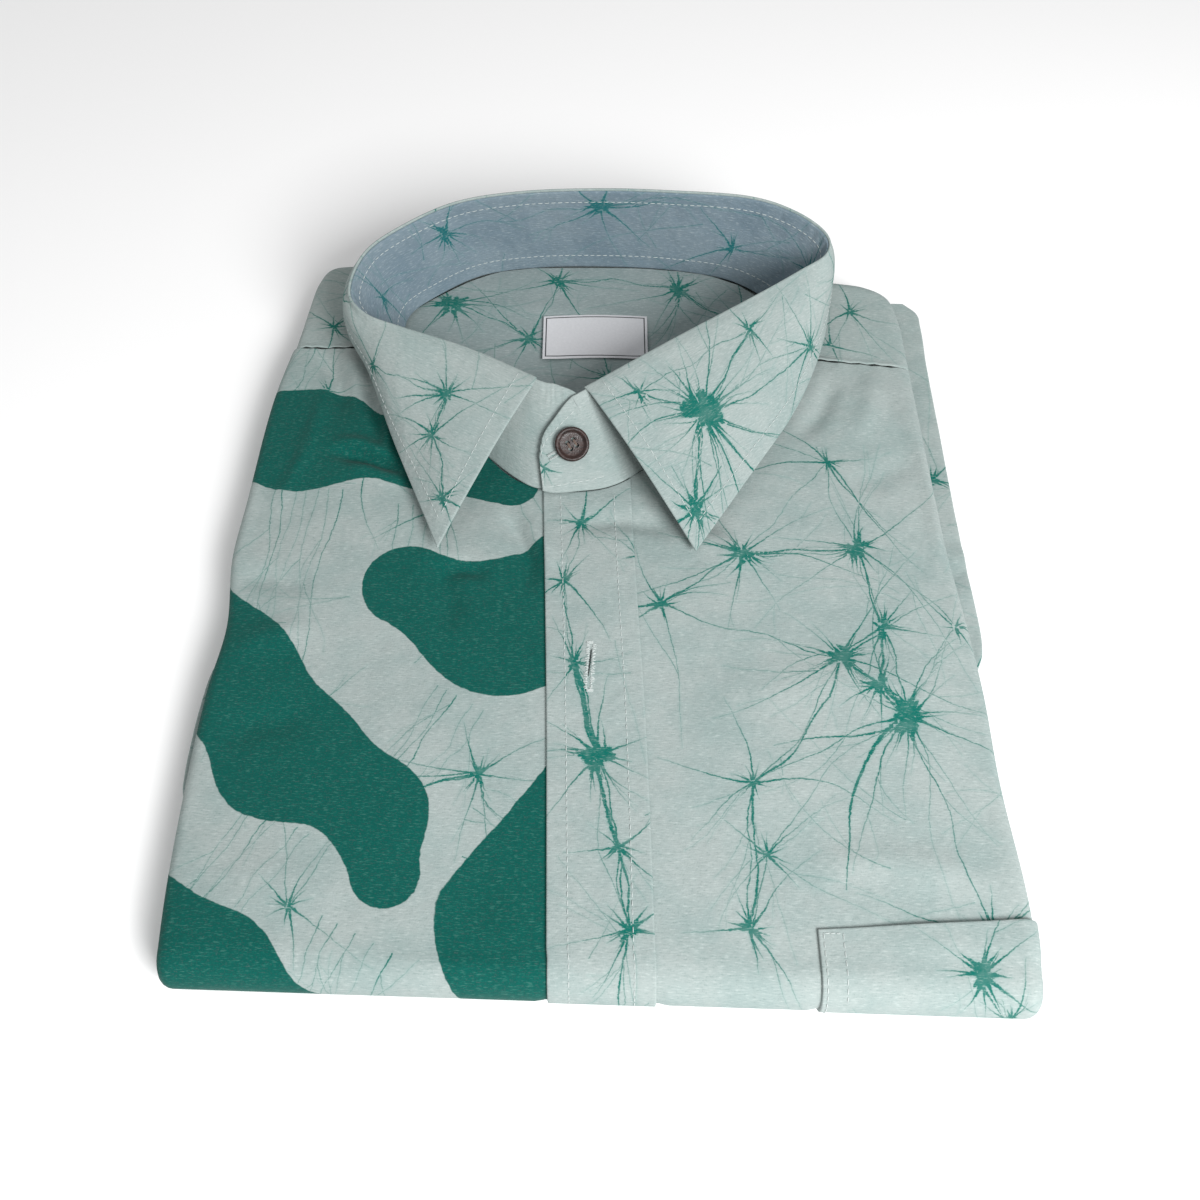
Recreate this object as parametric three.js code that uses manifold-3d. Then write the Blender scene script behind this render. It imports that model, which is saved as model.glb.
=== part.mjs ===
// A short-sleeved batik shirt, buttoned at the neck and folded for sale.
// Units are millimetres. +X is the wearer's left, +Y runs up the shirt to the collar, and +Z is up.
// The finished group stands on z = 0, centred on its own box.

import * as THREE from 'three';
import { mergeVertices } from 'three/addons/utils/BufferGeometryUtils.js';
import Module from 'manifold-3d';

const wasm = await Module();
wasm.setup();

// Cloth
const CLOTH = 1.2; // wall of one layer
const STAND_WALL = 1.6; // two layers and interlining, as in the collar leaf
const GAP = 0.3; // between pieces at a seam
const LIFT = CLOTH + GAP; // from one layer's face to the next one's

// The folded stack
const STACK_HEIGHT = 20;
const TURN = STACK_HEIGHT / 2; // radius of the bottom fold
const HALF_TURN = Math.PI * TURN;
const SIDE_RADIUS = 4; // the rounded side folds
const SIDE_TURN = Math.PI * SIDE_RADIUS;
const FLAP = 34; // how far a side goes in behind its fold
const YOKE_FLAP = 17; // and the yoke, at its widest
const YOKE_FLAP_LAP = 6; // how far the yoke's goes in past its neck edge, where it is narrow
const UNDER_LENGTH = 276; // from the bottom fold back to the turned-up tail

// Outlines of the folded shirt: x of the side folds at each y
const LEFT_SIDE = [
  { y: 0, x: -134.5 }, { y: 30, x: -136.5 }, { y: 60, x: -137 }, { y: 100, x: -136 }, { y: 125, x: -133.5 },
  { y: 155, x: -136.3 }, { y: 180, x: -135 }, { y: 233, x: -132 }, { y: 270, x: -126.5 },
];
const RIGHT_SIDE = [
  { y: 0, x: 131.5 }, { y: 30, x: 134 }, { y: 76, x: 132.3 }, { y: 107, x: 132.6 },
  { y: 135, x: 131.2 }, { y: 175, x: 128.6 }, { y: 248, x: 127.5 },
];

// The front neckline from the left yoke seam to the right one
const NECKLINE = [
  { x: -81, y: 262 }, { x: -72, y: 246 }, { x: -60, y: 228 }, { x: -46, y: 208 },
  { x: -34, y: 195 }, { x: -22, y: 190 }, { x: -8, y: 189 }, { x: 4, y: 191 },
  { x: 16, y: 198 }, { x: 30, y: 210 }, { x: 45, y: 226 }, { x: 58, y: 243 }, { x: 67, y: 257 },
];
const LEFT_CORNER = NECKLINE[0];
const RIGHT_CORNER = NECKLINE[NECKLINE.length - 1];
const LEFT_SEAM_END = { x: -127.3, y: 264 };
const RIGHT_SEAM_END = { x: 127.5, y: 252 };

// The yoke: neck edge and folded outer edge, from the left seam round the back to the right seam
const YOKE = [
  { nx: -81, ny: 262, ox: -127.3, oy: 264 },
  { nx: -83.5, ny: 272, ox: -126, oy: 276 },
  { nx: -83, ny: 281, ox: -124.6, oy: 289 },
  { nx: -79, ny: 288, ox: -122.6, oy: 303 },
  { nx: -74, ny: 294, ox: -117.5, oy: 312.6 },
  { nx: -67, ny: 300, ox: -105, oy: 314.4 },
  { nx: -58, ny: 306, ox: -84, oy: 314.4 },
  { nx: -45, ny: 312, ox: -54, oy: 319 },
  { nx: -28, ny: 314.5, ox: -30, oy: 321.5 },
  { nx: 0, ny: 315, ox: 0, oy: 322 },
  { nx: 28, ny: 313.5, ox: 30, oy: 320.5 },
  { nx: 48, ny: 310, ox: 54, oy: 316.5 },
  { nx: 61, ny: 304, ox: 76, oy: 309.5 },
  { nx: 69, ny: 297, ox: 97, oy: 304.5 },
  { nx: 75, ny: 290, ox: 114, oy: 301.5 },
  { nx: 77.5, ny: 282, ox: 124, oy: 294.5 },
  { nx: 76.5, ny: 274, ox: 127, oy: 281 },
  { nx: 73, ny: 266, ox: 127.4, oy: 267 },
  { nx: 67, ny: 257.3, ox: 127.5, oy: 252.3 },
];

// The collar ring from the left front round the back to the right front:
// b is the foot of the stand, f the fold along its top, and e the leaf's free edge
const COLLAR = [
  { bx: -27, by: 191, bz: 20.3, fx: -24, fy: 223.5, fz: 44, ex: -59, ey: 157.5, ez: 23.5 },
  { bx: -45, by: 207, bz: 20.3, fx: -51, fy: 237, fz: 46, ex: -69, ey: 182, ez: 25 },
  { bx: -60, by: 228, bz: 20.3, fx: -77, fy: 246.5, fz: 47.6, ex: -80, ey: 209, ez: 27 },
  { bx: -75, by: 251, bz: 20.1, fx: -92, fy: 253.5, fz: 48.3, ex: -91, ey: 238, ez: 30 },
  { bx: -82.5, by: 267, bz: 19.6, fx: -99, fy: 265, fz: 49.2, ex: -102, ey: 261, ez: 30 },
  { bx: -82, by: 283, bz: 19, fx: -94.5, fy: 284, fz: 51, ex: -104, ey: 286, ez: 24 },
  { bx: -71, by: 296, bz: 18.4, fx: -80, fy: 298, fz: 52.8, ex: -88, ey: 309, ez: 22 },
  { bx: -52, by: 309, bz: 18.2, fx: -59, fy: 310.5, fz: 54, ex: -64, ey: 324, ez: 16 },
  { bx: -28, by: 314.2, bz: 18, fx: -33, fy: 315.5, fz: 55, ex: -36, ey: 328, ez: 12 },
  { bx: 0, by: 315, bz: 18, fx: 0, fy: 316.3, fz: 55.8, ex: 0, ey: 329, ez: 12 },
  { bx: 28, by: 313.2, bz: 18, fx: 29, fy: 315.3, fz: 55.6, ex: 30, ey: 328, ez: 12 },
  { bx: 54, by: 307.5, bz: 18.2, fx: 61, fy: 312.8, fz: 54.9, ex: 66, ey: 323, ez: 16 },
  { bx: 70, by: 297, bz: 18.4, fx: 80, fy: 305, fz: 53.8, ex: 84, ey: 314, ez: 21.5 },
  { bx: 77.5, by: 284, bz: 19, fx: 91.5, fy: 294, fz: 52.2, ex: 95, ey: 297, ez: 23.5 },
  { bx: 75.5, by: 271, bz: 19.6, fx: 91, fy: 284, fz: 50.8, ex: 94.5, ey: 277, ez: 25.5 },
  { bx: 68, by: 258, bz: 20.3, fx: 79, fy: 275, fz: 49.5, ex: 88, ey: 250, ez: 28 },
  { bx: 55, by: 239, bz: 20.3, fx: 60, fy: 262, fz: 48.2, ex: 75, ey: 219.5, ez: 27 },
  { bx: 37, by: 217, bz: 20.3, fx: 27, fy: 240.5, fz: 46.3, ex: 55, ey: 188, ez: 25 },
  { bx: 14, by: 197, bz: 20.3, fx: -6, fy: 218.5, fz: 44, ex: 35, ey: 158, ez: 22.7 },
];
const LEAF_RIDE = 2.4; // the leaf's fold stands this far over the top edge of the stand
const LEAF_ROLL = 2.2; // and rolls over it this far out
const LEAF_START = 0.08; // share of the leaf's depth that is the roll
const LEAF_CROWN = 3.2; // how far the leaf stands off a straight line

// The stand beyond the leaf: its end below the tab, and the tab
const STAND_UNDER_END = [
  { bx: 5, by: 192.5, bz: 20.3, fx: 3, fy: 208, fz: 32 },
  { bx: -4, by: 190.5, bz: 20.3, fx: -7, fy: 217, fz: 41.5 },
  { bx: -15, by: 190, bz: 20.3, fx: -16, fy: 221, fz: 43.8 },
];
const STAND_TAB = [
  { bx: 3, by: 189.4, bz: 22.6, fx: -12, fy: 215, fz: 42.6 },
  { bx: -9, by: 187.2, bz: 22.6, fx: -17.7, fy: 209, fz: 39 },
  { bx: -17.5, by: 186.2, bz: 22.6, fx: -21.8, fy: 204.2, fz: 35.2 },
  { bx: -21.8, by: 186.6, bz: 22.9, fx: -23.2, fy: 198, fz: 30 },
];

// Placket, pocket, label, button
const PLACKET = [
  { y: 0, left: -16, right: 17 }, { y: 100, left: -18.4, right: 15.2 },
  { y: 140, left: -19.8, right: 13.4 }, { y: 188, left: -21.7, right: 11.8 },
];
const PLACKET_TOP = PLACKET[PLACKET.length - 1].y;
const PLACKET_SHORT = 3.4; // from the placket's top edge to the neckline
const SEAM_LAP = 3; // how far the placket covers the edge of the left front
const HIP = 4; // width of the step down from the placket or pocket to the front
const NEAR = 0.4; // where that step ends beside it
const POCKET_LEFT = 66.5;
const POCKET_RIGHT = 130;
const POCKET_MOUTH = { left: 20.2, right: 23 }; // y of the mouth's ends
const POCKET_UNDER = 92; // how far it runs on along the underside
const POCKET_GAPE = 1.6; // the mouth stands this far off the front
const POCKET_FLAP = FLAP - 2; // how far it goes in behind the side fold
const LABEL = { x: -2, y: 271, width: 44, depth: 24 };
const BUTTON = { x: -10.6, up: 0.59, radius: 6.5, thickness: 2.6, hole: 0.9, holeRing: 1.8, sides: 28 };

// Sleeves: x of the folded edge at each y, on the right and on the left
const LEFT_SLEEVE = [
  { y: 52, x: 129 }, { y: 72, x: 134.4 }, { y: 92, x: 131 }, { y: 110, x: 132 }, { y: 122, x: 137 },
  { y: 150, x: 137.5 }, { y: 182, x: 137 }, { y: 225, x: 137.1 }, { y: 262, x: 137.2 }, { y: 284, x: 137.8 },
  { y: 291, x: 137.2 }, { y: 297, x: 132 },
];
const RIGHT_SLEEVE = [
  { y: 54, x: -130 }, { y: 66, x: -138.6 }, { y: 84, x: -140.2 }, { y: 97, x: -139.7 }, { y: 112, x: -138.4 },
  { y: 126, x: -134.5 }, { y: 150, x: -132 }, { y: 210, x: -129 }, { y: 262, x: -124 }, { y: 291, x: -117 },
];
const SLEEVE_INNER = 100; // |x| of the hidden long edge
const SLEEVE_THICKNESS = 2.2;

// Hidden layers
const BODY_TOP_END = 258; // y where the upper layers end, short of the shoulders
const BODY_INSET = 2.5; // between the layers and the side folds around them
const CORE_END = 280; // y where the middle layers end
const CORE_HALF = 87; // half width of the middle layers
const TAIL_LAYERS = [
  { low: 3.3, high: 4.9, end: 286.5, half: 84 }, { low: 5.2, high: 6.9, end: 283, half: 86 },
  { low: 7.2, high: 9.6, end: 288, half: 82 }, { low: 9.5, high: 11.2, end: 297, half: 86 },
  { low: 9.5, high: 11.2, end: 309, half: 64 },
];
const FLOOR = 14.4; // top face of the neck floor at the front
const FLOOR_RISE = 1.8; // and how much higher it is at the back neck
const FLOOR_SINK = 0.6; // and how much lower at its sides
const FLOOR_TUCK = 5; // how far the floor goes in under the neckline
const FLOOR_BACK_TUCK = -1.2; // and short of it at the back
const FLOOR_MIDDLE = { x: -3, y: 262 };
const WELL_CLEAR = 7; // how far the hidden layers stop outside the neckline
const CORE_LOW = 3.2;
const CORE_HIGH = 13.2;

const lerp = THREE.MathUtils.lerp;
const smooth = (value, from, to) => THREE.MathUtils.smoothstep(value, from, to);

/** The value of column at key in a table sorted by keyName, along a smooth curve through its rows. */
function along(table, keyName, key, column) {
  const last = table.length - 1;
  let i = 0;
  while (i < last - 1 && key > table[i + 1][keyName]) i++;
  const a = table[i];
  const b = table[i + 1];
  const t = THREE.MathUtils.clamp((key - a[keyName]) / (b[keyName] - a[keyName]), 0, 1);
  const slope = (p, q) => (q[column] - p[column]) / (q[keyName] - p[keyName]);
  const span = b[keyName] - a[keyName];
  const here = slope(a, b);
  const before = i > 0 ? (slope(table[i - 1], a) + here) / 2 : here;
  const after = i < last - 1 ? (here + slope(b, table[i + 2])) / 2 : here;
  const t2 = t * t;
  const t3 = t2 * t;
  return (2 * t3 - 3 * t2 + 1) * a[column] + (t3 - 2 * t2 + t) * span * before
    + (3 * t2 - 2 * t3) * b[column] + (t3 - t2) * span * after;
}

/** Row number `at` of a table, whole or fractional, along a smooth curve through its rows. */
function rowAt(table, at) {
  const rows = table.map((row, index) => ({ ...row, index }));
  const made = {};
  for (const column of Object.keys(table[0])) made[column] = along(rows, 'index', at, column);
  return made;
}

// --- The folded form ---

/** y of the outside of the bottom fold, which lies a little askew. */
const foldY = (x) => 0.7 - 0.033 * x;

/** How much of its full height the stack has at a place: it sinks at the shoulders and the side folds. */
function fullness(x, y) {
  const shoulder = 0.16 * smooth(y, 235, 312);
  const side = 0.1 * smooth(Math.abs(x), 85, 135) * smooth(y, 12, 60);
  return 1 - shoulder - side;
}

/**
 * A point of the folded stack. x is across, s is the distance down the shirt past the start of the
 * bottom fold (negative above it), and depth is measured in from the outer face.
 */
function inStack(x, s, depth) {
  const start = foldY(x) + TURN;
  const radius = TURN - depth;
  if (s <= 0) return new THREE.Vector3(x, start - s, TURN + radius * fullness(x, start - s));
  if (s < HALF_TURN) {
    const angle = s / TURN;
    return new THREE.Vector3(x, start - radius * Math.sin(angle), TURN + radius * Math.cos(angle));
  }
  return new THREE.Vector3(x, start + s - HALF_TURN, depth);
}

/** y that a distance s down the shirt comes to, above or below the bottom fold. */
const yOf = (s, x = 0) => foldY(x) + TURN + (s < 0 ? -s : Math.max(0, s - HALF_TURN));

/** x of the side fold at s; side is -1 or 1. */
function sideX(side, s) {
  const table = side < 0 ? LEFT_SIDE : RIGHT_SIDE;
  return along(table, 'y', Math.min(yOf(s), table[table.length - 1].y), 'x');
}

/**
 * A point of the cloth that goes round a side fold. over is the distance past the start of the side
 * fold, and depth is measured in from the outer face.
 */
function roundSide(side, over, s, depth) {
  const centre = sideX(side, s) - side * SIDE_RADIUS;
  const radius = SIDE_RADIUS - depth;
  if (over <= 0) return inStack(centre + side * over, s, depth);
  if (over < SIDE_TURN) {
    const angle = over / SIDE_RADIUS;
    const x = centre + side * radius * Math.sin(angle);
    return inStack(x, s, SIDE_RADIUS - radius * Math.cos(angle));
  }
  return inStack(centre - side * (over - SIDE_TURN), s, 2 * SIDE_RADIUS - depth);
}

const placketEdge = (name, s) => along(PLACKET, 'y', s < 0 ? Math.min(yOf(s), PLACKET_TOP) : 0, name);

/** How far the fronts sink below the placket or pocket, which lie flush on the underside. */
function sunk(x, s, side) {
  const under = LIFT * smooth(s, 0, HALF_TURN);
  const left = placketEdge('left', s);
  const right = placketEdge('right', s);
  const placket = smooth(x, left - HIP, left - NEAR) * (1 - smooth(x, right + NEAR, right + HIP));
  const last = HALF_TURN + POCKET_UNDER;
  const inside = smooth(x, POCKET_LEFT - HIP, POCKET_LEFT - NEAR);
  const pocket = side > 0 ? inside * (1 - smooth(s, last + NEAR, last + HIP)) : 0;
  return under * Math.max(placket, pocket);
}

// --- Solids ---

function solid(positions, faces) {
  const geometry = new THREE.BufferGeometry();
  const numbers = positions.flatMap((p) => [p.x, p.y, p.z]);
  geometry.setAttribute('position', new THREE.Float32BufferAttribute(numbers, 3));
  geometry.setIndex(faces.flat());
  if (volume(geometry) < 0) geometry.setIndex(faces.map(([a, b, c]) => [a, c, b]).flat());
  return geometry;
}

function volume(geometry) {
  const place = geometry.getAttribute('position');
  const index = geometry.getIndex();
  const corner = [new THREE.Vector3(), new THREE.Vector3(), new THREE.Vector3()];
  let sum = 0;
  for (let i = 0; i < index.count; i += 3) {
    corner.forEach((c, k) => c.fromBufferAttribute(place, index.getX(i + k)));
    sum += corner[0].dot(corner[1].clone().cross(corner[2]));
  }
  return sum / 6;
}

/** A closed wall between two faces: pointAt(row, column, side) with side 0 for one face and 1 for the other. */
function wall(rows, columns, pointAt) {
  const positions = [];
  const faces = [];
  const id = (side, i, j) => (side * rows + i) * columns + j;
  const quad = (a, b, c, d) => faces.push([a, b, c], [a, c, d]);
  for (const side of [0, 1])
    for (let i = 0; i < rows; i++) for (let j = 0; j < columns; j++) positions.push(pointAt(i, j, side));
  for (let i = 0; i < rows - 1; i++)
    for (let j = 0; j < columns - 1; j++) {
      quad(id(0, i, j), id(0, i, j + 1), id(0, i + 1, j + 1), id(0, i + 1, j));
      quad(id(1, i, j), id(1, i + 1, j), id(1, i + 1, j + 1), id(1, i, j + 1));
    }
  for (let i = 0; i < rows - 1; i++) {
    quad(id(0, i, 0), id(0, i + 1, 0), id(1, i + 1, 0), id(1, i, 0));
    const j = columns - 1;
    quad(id(0, i, j), id(1, i, j), id(1, i + 1, j), id(0, i + 1, j));
  }
  for (let j = 0; j < columns - 1; j++) {
    quad(id(0, 0, j), id(1, 0, j), id(1, 0, j + 1), id(0, 0, j + 1));
    const i = rows - 1;
    quad(id(0, i, j), id(0, i, j + 1), id(1, i, j + 1), id(1, i, j));
  }
  return solid(positions, faces);
}

/** A wall of the given thickness, half on each side of a surface at(row, column). */
function thickened(rows, columns, at, thickness) {
  const clampRow = (i) => THREE.MathUtils.clamp(i, 0, rows - 1);
  const clampColumn = (j) => THREE.MathUtils.clamp(j, 0, columns - 1);
  const normal = (i, j) => {
    const down = at(clampRow(i + 1), j).sub(at(clampRow(i - 1), j));
    const across = at(i, clampColumn(j + 1)).sub(at(i, clampColumn(j - 1)));
    return down.cross(across).normalize();
  };
  return wall(rows, columns, (i, j, side) => at(i, j).addScaledVector(normal(i, j), (side - 0.5) * thickness));
}

function toManifold(geometry) {
  const bare = geometry.clone();
  for (const name of Object.keys(bare.attributes)) if (name !== 'position') bare.deleteAttribute(name);
  const merged = mergeVertices(bare, 1e-4);
  return new wasm.Manifold(new wasm.Mesh({
    numProp: 3,
    vertProperties: new Float32Array(merged.getAttribute('position').array),
    triVerts: new Uint32Array(merged.getIndex().array),
  }));
}

function fromManifold(made) {
  const mesh = made.getMesh();
  const geometry = new THREE.BufferGeometry();
  geometry.setAttribute('position', new THREE.Float32BufferAttribute(mesh.vertProperties, 3));
  geometry.setIndex(Array.from(mesh.triVerts));
  return geometry;
}

function boxBetween(low, high) {
  const size = high.map((value, axis) => value - low[axis]);
  const geometry = new THREE.BoxGeometry(...size);
  return geometry.translate(...low.map((value, axis) => value + size[axis] / 2));
}

// --- Pieces ---

/** s of each row of a front: above the bottom fold, round it, and along the underside. */
const ROWS_ABOVE = 9;
const ROWS_ROUND = 6;
const UNDER_STOPS = [46, POCKET_UNDER + NEAR, POCKET_UNDER + HIP, 160, 220, UNDER_LENGTH];
const ROWS = ROWS_ABOVE + ROWS_ROUND + UNDER_STOPS.length + 1;
function rowS(i, top) {
  if (i <= ROWS_ABOVE) return lerp(top, 0, i / ROWS_ABOVE);
  if (i <= ROWS_ABOVE + ROWS_ROUND) return (HALF_TURN * (i - ROWS_ABOVE)) / ROWS_ROUND;
  return HALF_TURN + UNDER_STOPS[i - ROWS_ABOVE - ROWS_ROUND - 1];
}

/** y of a front's top edge: the neckline, and outside it the yoke seam. */
function topEdge(x) {
  if (x < LEFT_CORNER.x) {
    const t = (x - LEFT_CORNER.x) / (LEFT_SEAM_END.x - LEFT_CORNER.x);
    return lerp(LEFT_CORNER.y, LEFT_SEAM_END.y, Math.min(t, 1)) - GAP;
  }
  if (x > RIGHT_CORNER.x) {
    const t = (x - RIGHT_CORNER.x) / (RIGHT_SEAM_END.x - RIGHT_CORNER.x);
    return lerp(RIGHT_CORNER.y, RIGHT_SEAM_END.y, Math.min(t, 1)) - GAP;
  }
  return along(NECKLINE, 'x', x, 'y') - GAP;
}

const SIDE_STEPS = 5; // facets round a side fold
const NEAR_TOP = 200; // a first guess at the length above the bottom fold
const PAST_SIDE = 140; // an |x| beyond the side folds

/**
 * One front. innerEdge(s) is x of its edge at the middle, stops are x of its columns between there
 * and the corner of the neckline, and beyond that they are spread to the side fold.
 */
function front(side, innerEdge, stops) {
  const corner = side < 0 ? LEFT_CORNER.x : RIGHT_CORNER.x;
  const flat = [...stops, () => corner];
  const spread = 3;
  for (let k = 1; k <= spread; k++) {
    flat.push((s) => lerp(corner, sideX(side, s) - side * SIDE_RADIUS, k / spread));
  }
  const columns = 1 + flat.length + SIDE_STEPS + 1;
  return wall(ROWS, columns, (i, j, face) => {
    const xOf = (s) => (j === 0 ? innerEdge(s) : flat[Math.min(j, flat.length) - 1](s));
    const over = j <= flat.length ? 0 : Math.min((j - flat.length) / SIDE_STEPS, 1) * SIDE_TURN
      + (j > flat.length + SIDE_STEPS ? FLAP : 0);
    // The top edge depends on x, and x a little on the place down the shirt
    let s = -NEAR_TOP;
    for (let round = 0; round < 4; round++) {
      const x = xOf(s);
      s = foldY(x) + TURN - topEdge(over > 0 ? side * PAST_SIDE : x);
    }
    s = rowS(i, s);
    const x = xOf(s);
    const depth = sunk(x, s, side) + face * CLOTH;
    return over > 0 ? roundSide(side, over, s, depth) : inStack(x, s, depth);
  });
}

function frontRight() {
  const left = (s) => placketEdge('left', s);
  const stops = [(s) => left(s) - NEAR, (s) => left(s) - HIP];
  for (const x of [-34, -46, -60, -71]) stops.push(() => x);
  return front(-1, (s) => placketEdge('right', s) - SEAM_LAP - GAP, stops);
}

function frontLeft() {
  const right = (s) => placketEdge('right', s);
  const stops = [(s) => right(s) + NEAR, (s) => right(s) + HIP];
  for (const x of [30, 45, 58, POCKET_LEFT - HIP, POCKET_LEFT - NEAR]) stops.push(() => x);
  return front(1, (s) => placketEdge('right', s) - SEAM_LAP, stops);
}

function placket() {
  const columns = 4;
  return wall(ROWS, columns, (i, j, face) => {
    let s = -NEAR_TOP;
    const xOf = (at) => lerp(placketEdge('left', at), placketEdge('right', at), j / (columns - 1));
    for (let round = 0; round < 4; round++) s = foldY(xOf(s)) + TURN - (topEdge(xOf(s)) - PLACKET_SHORT);
    s = rowS(i, s);
    const x = xOf(s);
    return inStack(x, s, LIFT * smooth(s, 0, HALF_TURN) - LIFT + face * CLOTH);
  });
}

function pocket() {
  const shares = [1, 0.5, 0]; // rows from the mouth down to the start of the bottom fold
  const stops = shares.map(() => 0);
  for (let k = 1; k <= ROWS_ROUND; k++) stops.push((HALF_TURN * k) / ROWS_ROUND);
  stops.push(HALF_TURN + UNDER_STOPS[0], HALF_TURN + POCKET_UNDER);
  const flat = 4;
  const columns = flat + SIDE_STEPS + 2;
  return wall(stops.length, columns, (i, j, face) => {
    const reach = Math.min(j / flat, 1);
    const mouth = lerp(POCKET_MOUTH.left, POCKET_MOUTH.right, reach);
    const top = foldY(lerp(POCKET_LEFT, POCKET_RIGHT, reach)) + TURN - mouth;
    const s = i < shares.length ? top * shares[i] : stops[i];
    const edge = sideX(1, s) - SIDE_RADIUS;
    const gape = POCKET_GAPE * smooth(-s, 2, -top) * smooth(j, 0.5, 3);
    const depth = LIFT * smooth(s, 0, HALF_TURN) - LIFT - gape + face * CLOTH;
    if (j <= flat) return inStack(lerp(POCKET_LEFT, edge, j / flat), s, depth);
    const step = j - flat;
    const over = Math.min(step / SIDE_STEPS, 1) * SIDE_TURN + (step > SIDE_STEPS ? POCKET_FLAP : 0);
    const settled = step > 2 ? depth + gape : depth + gape * 0.5;
    return roundSide(1, over, s, settled);
  });
}

function yoke() {
  const rows = (YOKE.length - 1) * 2 + 1;
  const flat = 2;
  const columns = flat + 1 + SIDE_STEPS + 1;
  const outline = (at) => {
    const row = rowAt(YOKE, at);
    return new THREE.Vector2(row.ox, row.oy);
  };
  const normalAt = (at) => {
    if (at === 0) return new THREE.Vector2(-1, 0);
    if (at === YOKE.length - 1) return new THREE.Vector2(1, 0);
    const d = outline(Math.min(at + 0.25, YOKE.length - 1)).sub(outline(Math.max(at - 0.25, 0))).normalize();
    return new THREE.Vector2(-d.y, d.x);
  };
  return wall(rows, columns, (i, j, face) => {
    const at = i / 2;
    const row = rowAt(YOKE, at);
    const n = normalAt(at);
    const centre = outline(at).addScaledVector(n, -SIDE_RADIUS);
    const depth = face * CLOTH;
    const radius = SIDE_RADIUS - depth;
    let spot = centre.clone();
    let h = depth;
    if (j < flat) spot = new THREE.Vector2(row.nx, row.ny).lerp(centre, j / flat);
    if (j > flat) {
      const angle = Math.PI * Math.min((j - flat) / SIDE_STEPS, 1);
      spot.addScaledVector(n, radius * Math.sin(angle));
      h = SIDE_RADIUS - radius * Math.cos(angle);
    }
    if (j > flat + SIDE_STEPS) {
      const inside = new THREE.Vector2(row.nx, row.ny).sub(centre);
      spot.addScaledVector(n, -Math.min(YOKE_FLAP, YOKE_FLAP_LAP + inside.length()));
    }
    return inStack(spot.x, foldY(spot.x) + TURN - spot.y, h);
  });
}

/** Neck outline, grown by some millimetres, as points in order. */
function neckOutline(grow) {
  const points = NECKLINE.slice(1).map((p) => new THREE.Vector2(p.x, p.y));
  const back = YOKE.slice(0, -1).map((p) => new THREE.Vector2(p.nx, p.ny)).reverse();
  const all = [...points, ...back];
  return all.map((p, i) => {
    const next = all[(i + 1) % all.length];
    const before = all[(i + all.length - 1) % all.length];
    const d = next.clone().sub(before).normalize();
    return p.clone().add(new THREE.Vector2(d.y, -d.x).multiplyScalar(grow(p)));
  });
}

/** Height of the top face of the neck floor: it rises to the back neckline. */
const floorZ = (x, y) => FLOOR + FLOOR_RISE * smooth(y, 235, 312) - FLOOR_SINK * smooth(Math.abs(x), 30, 90);

/** The floor of the neck, as rings that shrink to the middle. */
function yokeInside() {
  const outline = neckOutline((p) => lerp(FLOOR_TUCK, FLOOR_BACK_TUCK, smooth(p.y, 270, 300)));
  const centre = new THREE.Vector2(FLOOR_MIDDLE.x, FLOOR_MIDDLE.y);
  const rings = 4;
  const positions = [];
  const faces = [];
  const n = outline.length;
  for (const drop of [0, CLOTH]) {
    for (let ring = 0; ring < rings; ring++) {
      for (const p of outline) {
        const q = centre.clone().lerp(p, 1 - ring / rings);
        positions.push(new THREE.Vector3(q.x, q.y, floorZ(q.x, q.y) - drop));
      }
    }
    positions.push(new THREE.Vector3(centre.x, centre.y, floorZ(centre.x, centre.y) - drop));
  }
  const perFace = rings * n + 1;
  for (let k = 0; k < n; k++) {
    const next = (k + 1) % n;
    for (let face = 0; face < 2; face++) {
      const base = face * perFace;
      const turn = (a, b, c) => faces.push(face ? [a, c, b] : [a, b, c]);
      for (let ring = 0; ring < rings - 1; ring++) {
        const [a, b] = [base + ring * n + k, base + ring * n + next];
        turn(a, b, b + n);
        turn(a, b + n, a + n);
      }
      turn(base + (rings - 1) * n + k, base + (rings - 1) * n + next, base + rings * n);
    }
    faces.push([k, perFace + k, perFace + next], [k, perFace + next, next]);
  }
  return solid(positions, faces);
}

function sleeve(table, side) {
  const first = table[0].y;
  const last = table[table.length - 1].y;
  const rows = 15;
  const edge = 4;
  const columns = 2 + edge;
  const half = SLEEVE_THICKNESS / 2;
  return wall(rows, columns, (i, j, face) => {
    const y = lerp(first, last, i / (rows - 1));
    const outer = along(table, 'y', y, 'x') - side * half;
    if (j === 0) return new THREE.Vector3(side * SLEEVE_INNER, y, TURN + (face ? -half : half));
    const angle = (Math.PI / 2) * ((j - 1) / edge);
    const reach = Math.sin(angle);
    const height = Math.max(Math.cos(angle), 0.12);
    return new THREE.Vector3(outer + side * half * reach, y, TURN + (face ? -half : half) * height);
  });
}

function standRows() {
  const all = [...STAND_UNDER_END, ...COLLAR, ...STAND_TAB];
  return all.map(({ bx, by, bz, fx, fy, fz }) => ({ bx, by, bz, fx, fy, fz }));
}

function standPoint(at, t) {
  const row = rowAt(standRows(), at);
  const foot = new THREE.Vector3(row.bx, row.by, row.bz + STAND_WALL / 2);
  const fold = new THREE.Vector3(row.fx, row.fy, row.fz);
  const top = fold.clone().sub(foot).setLength(fold.distanceTo(foot) - LEAF_RIDE).add(foot);
  return foot.lerp(top, t);
}

function collarStand() {
  const last = standRows().length - 1;
  const rows = last * 2 + 1;
  const columns = 4;
  return thickened(rows, columns, (i, j) => standPoint(i / 2, j / (columns - 1)), STAND_WALL);
}

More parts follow.
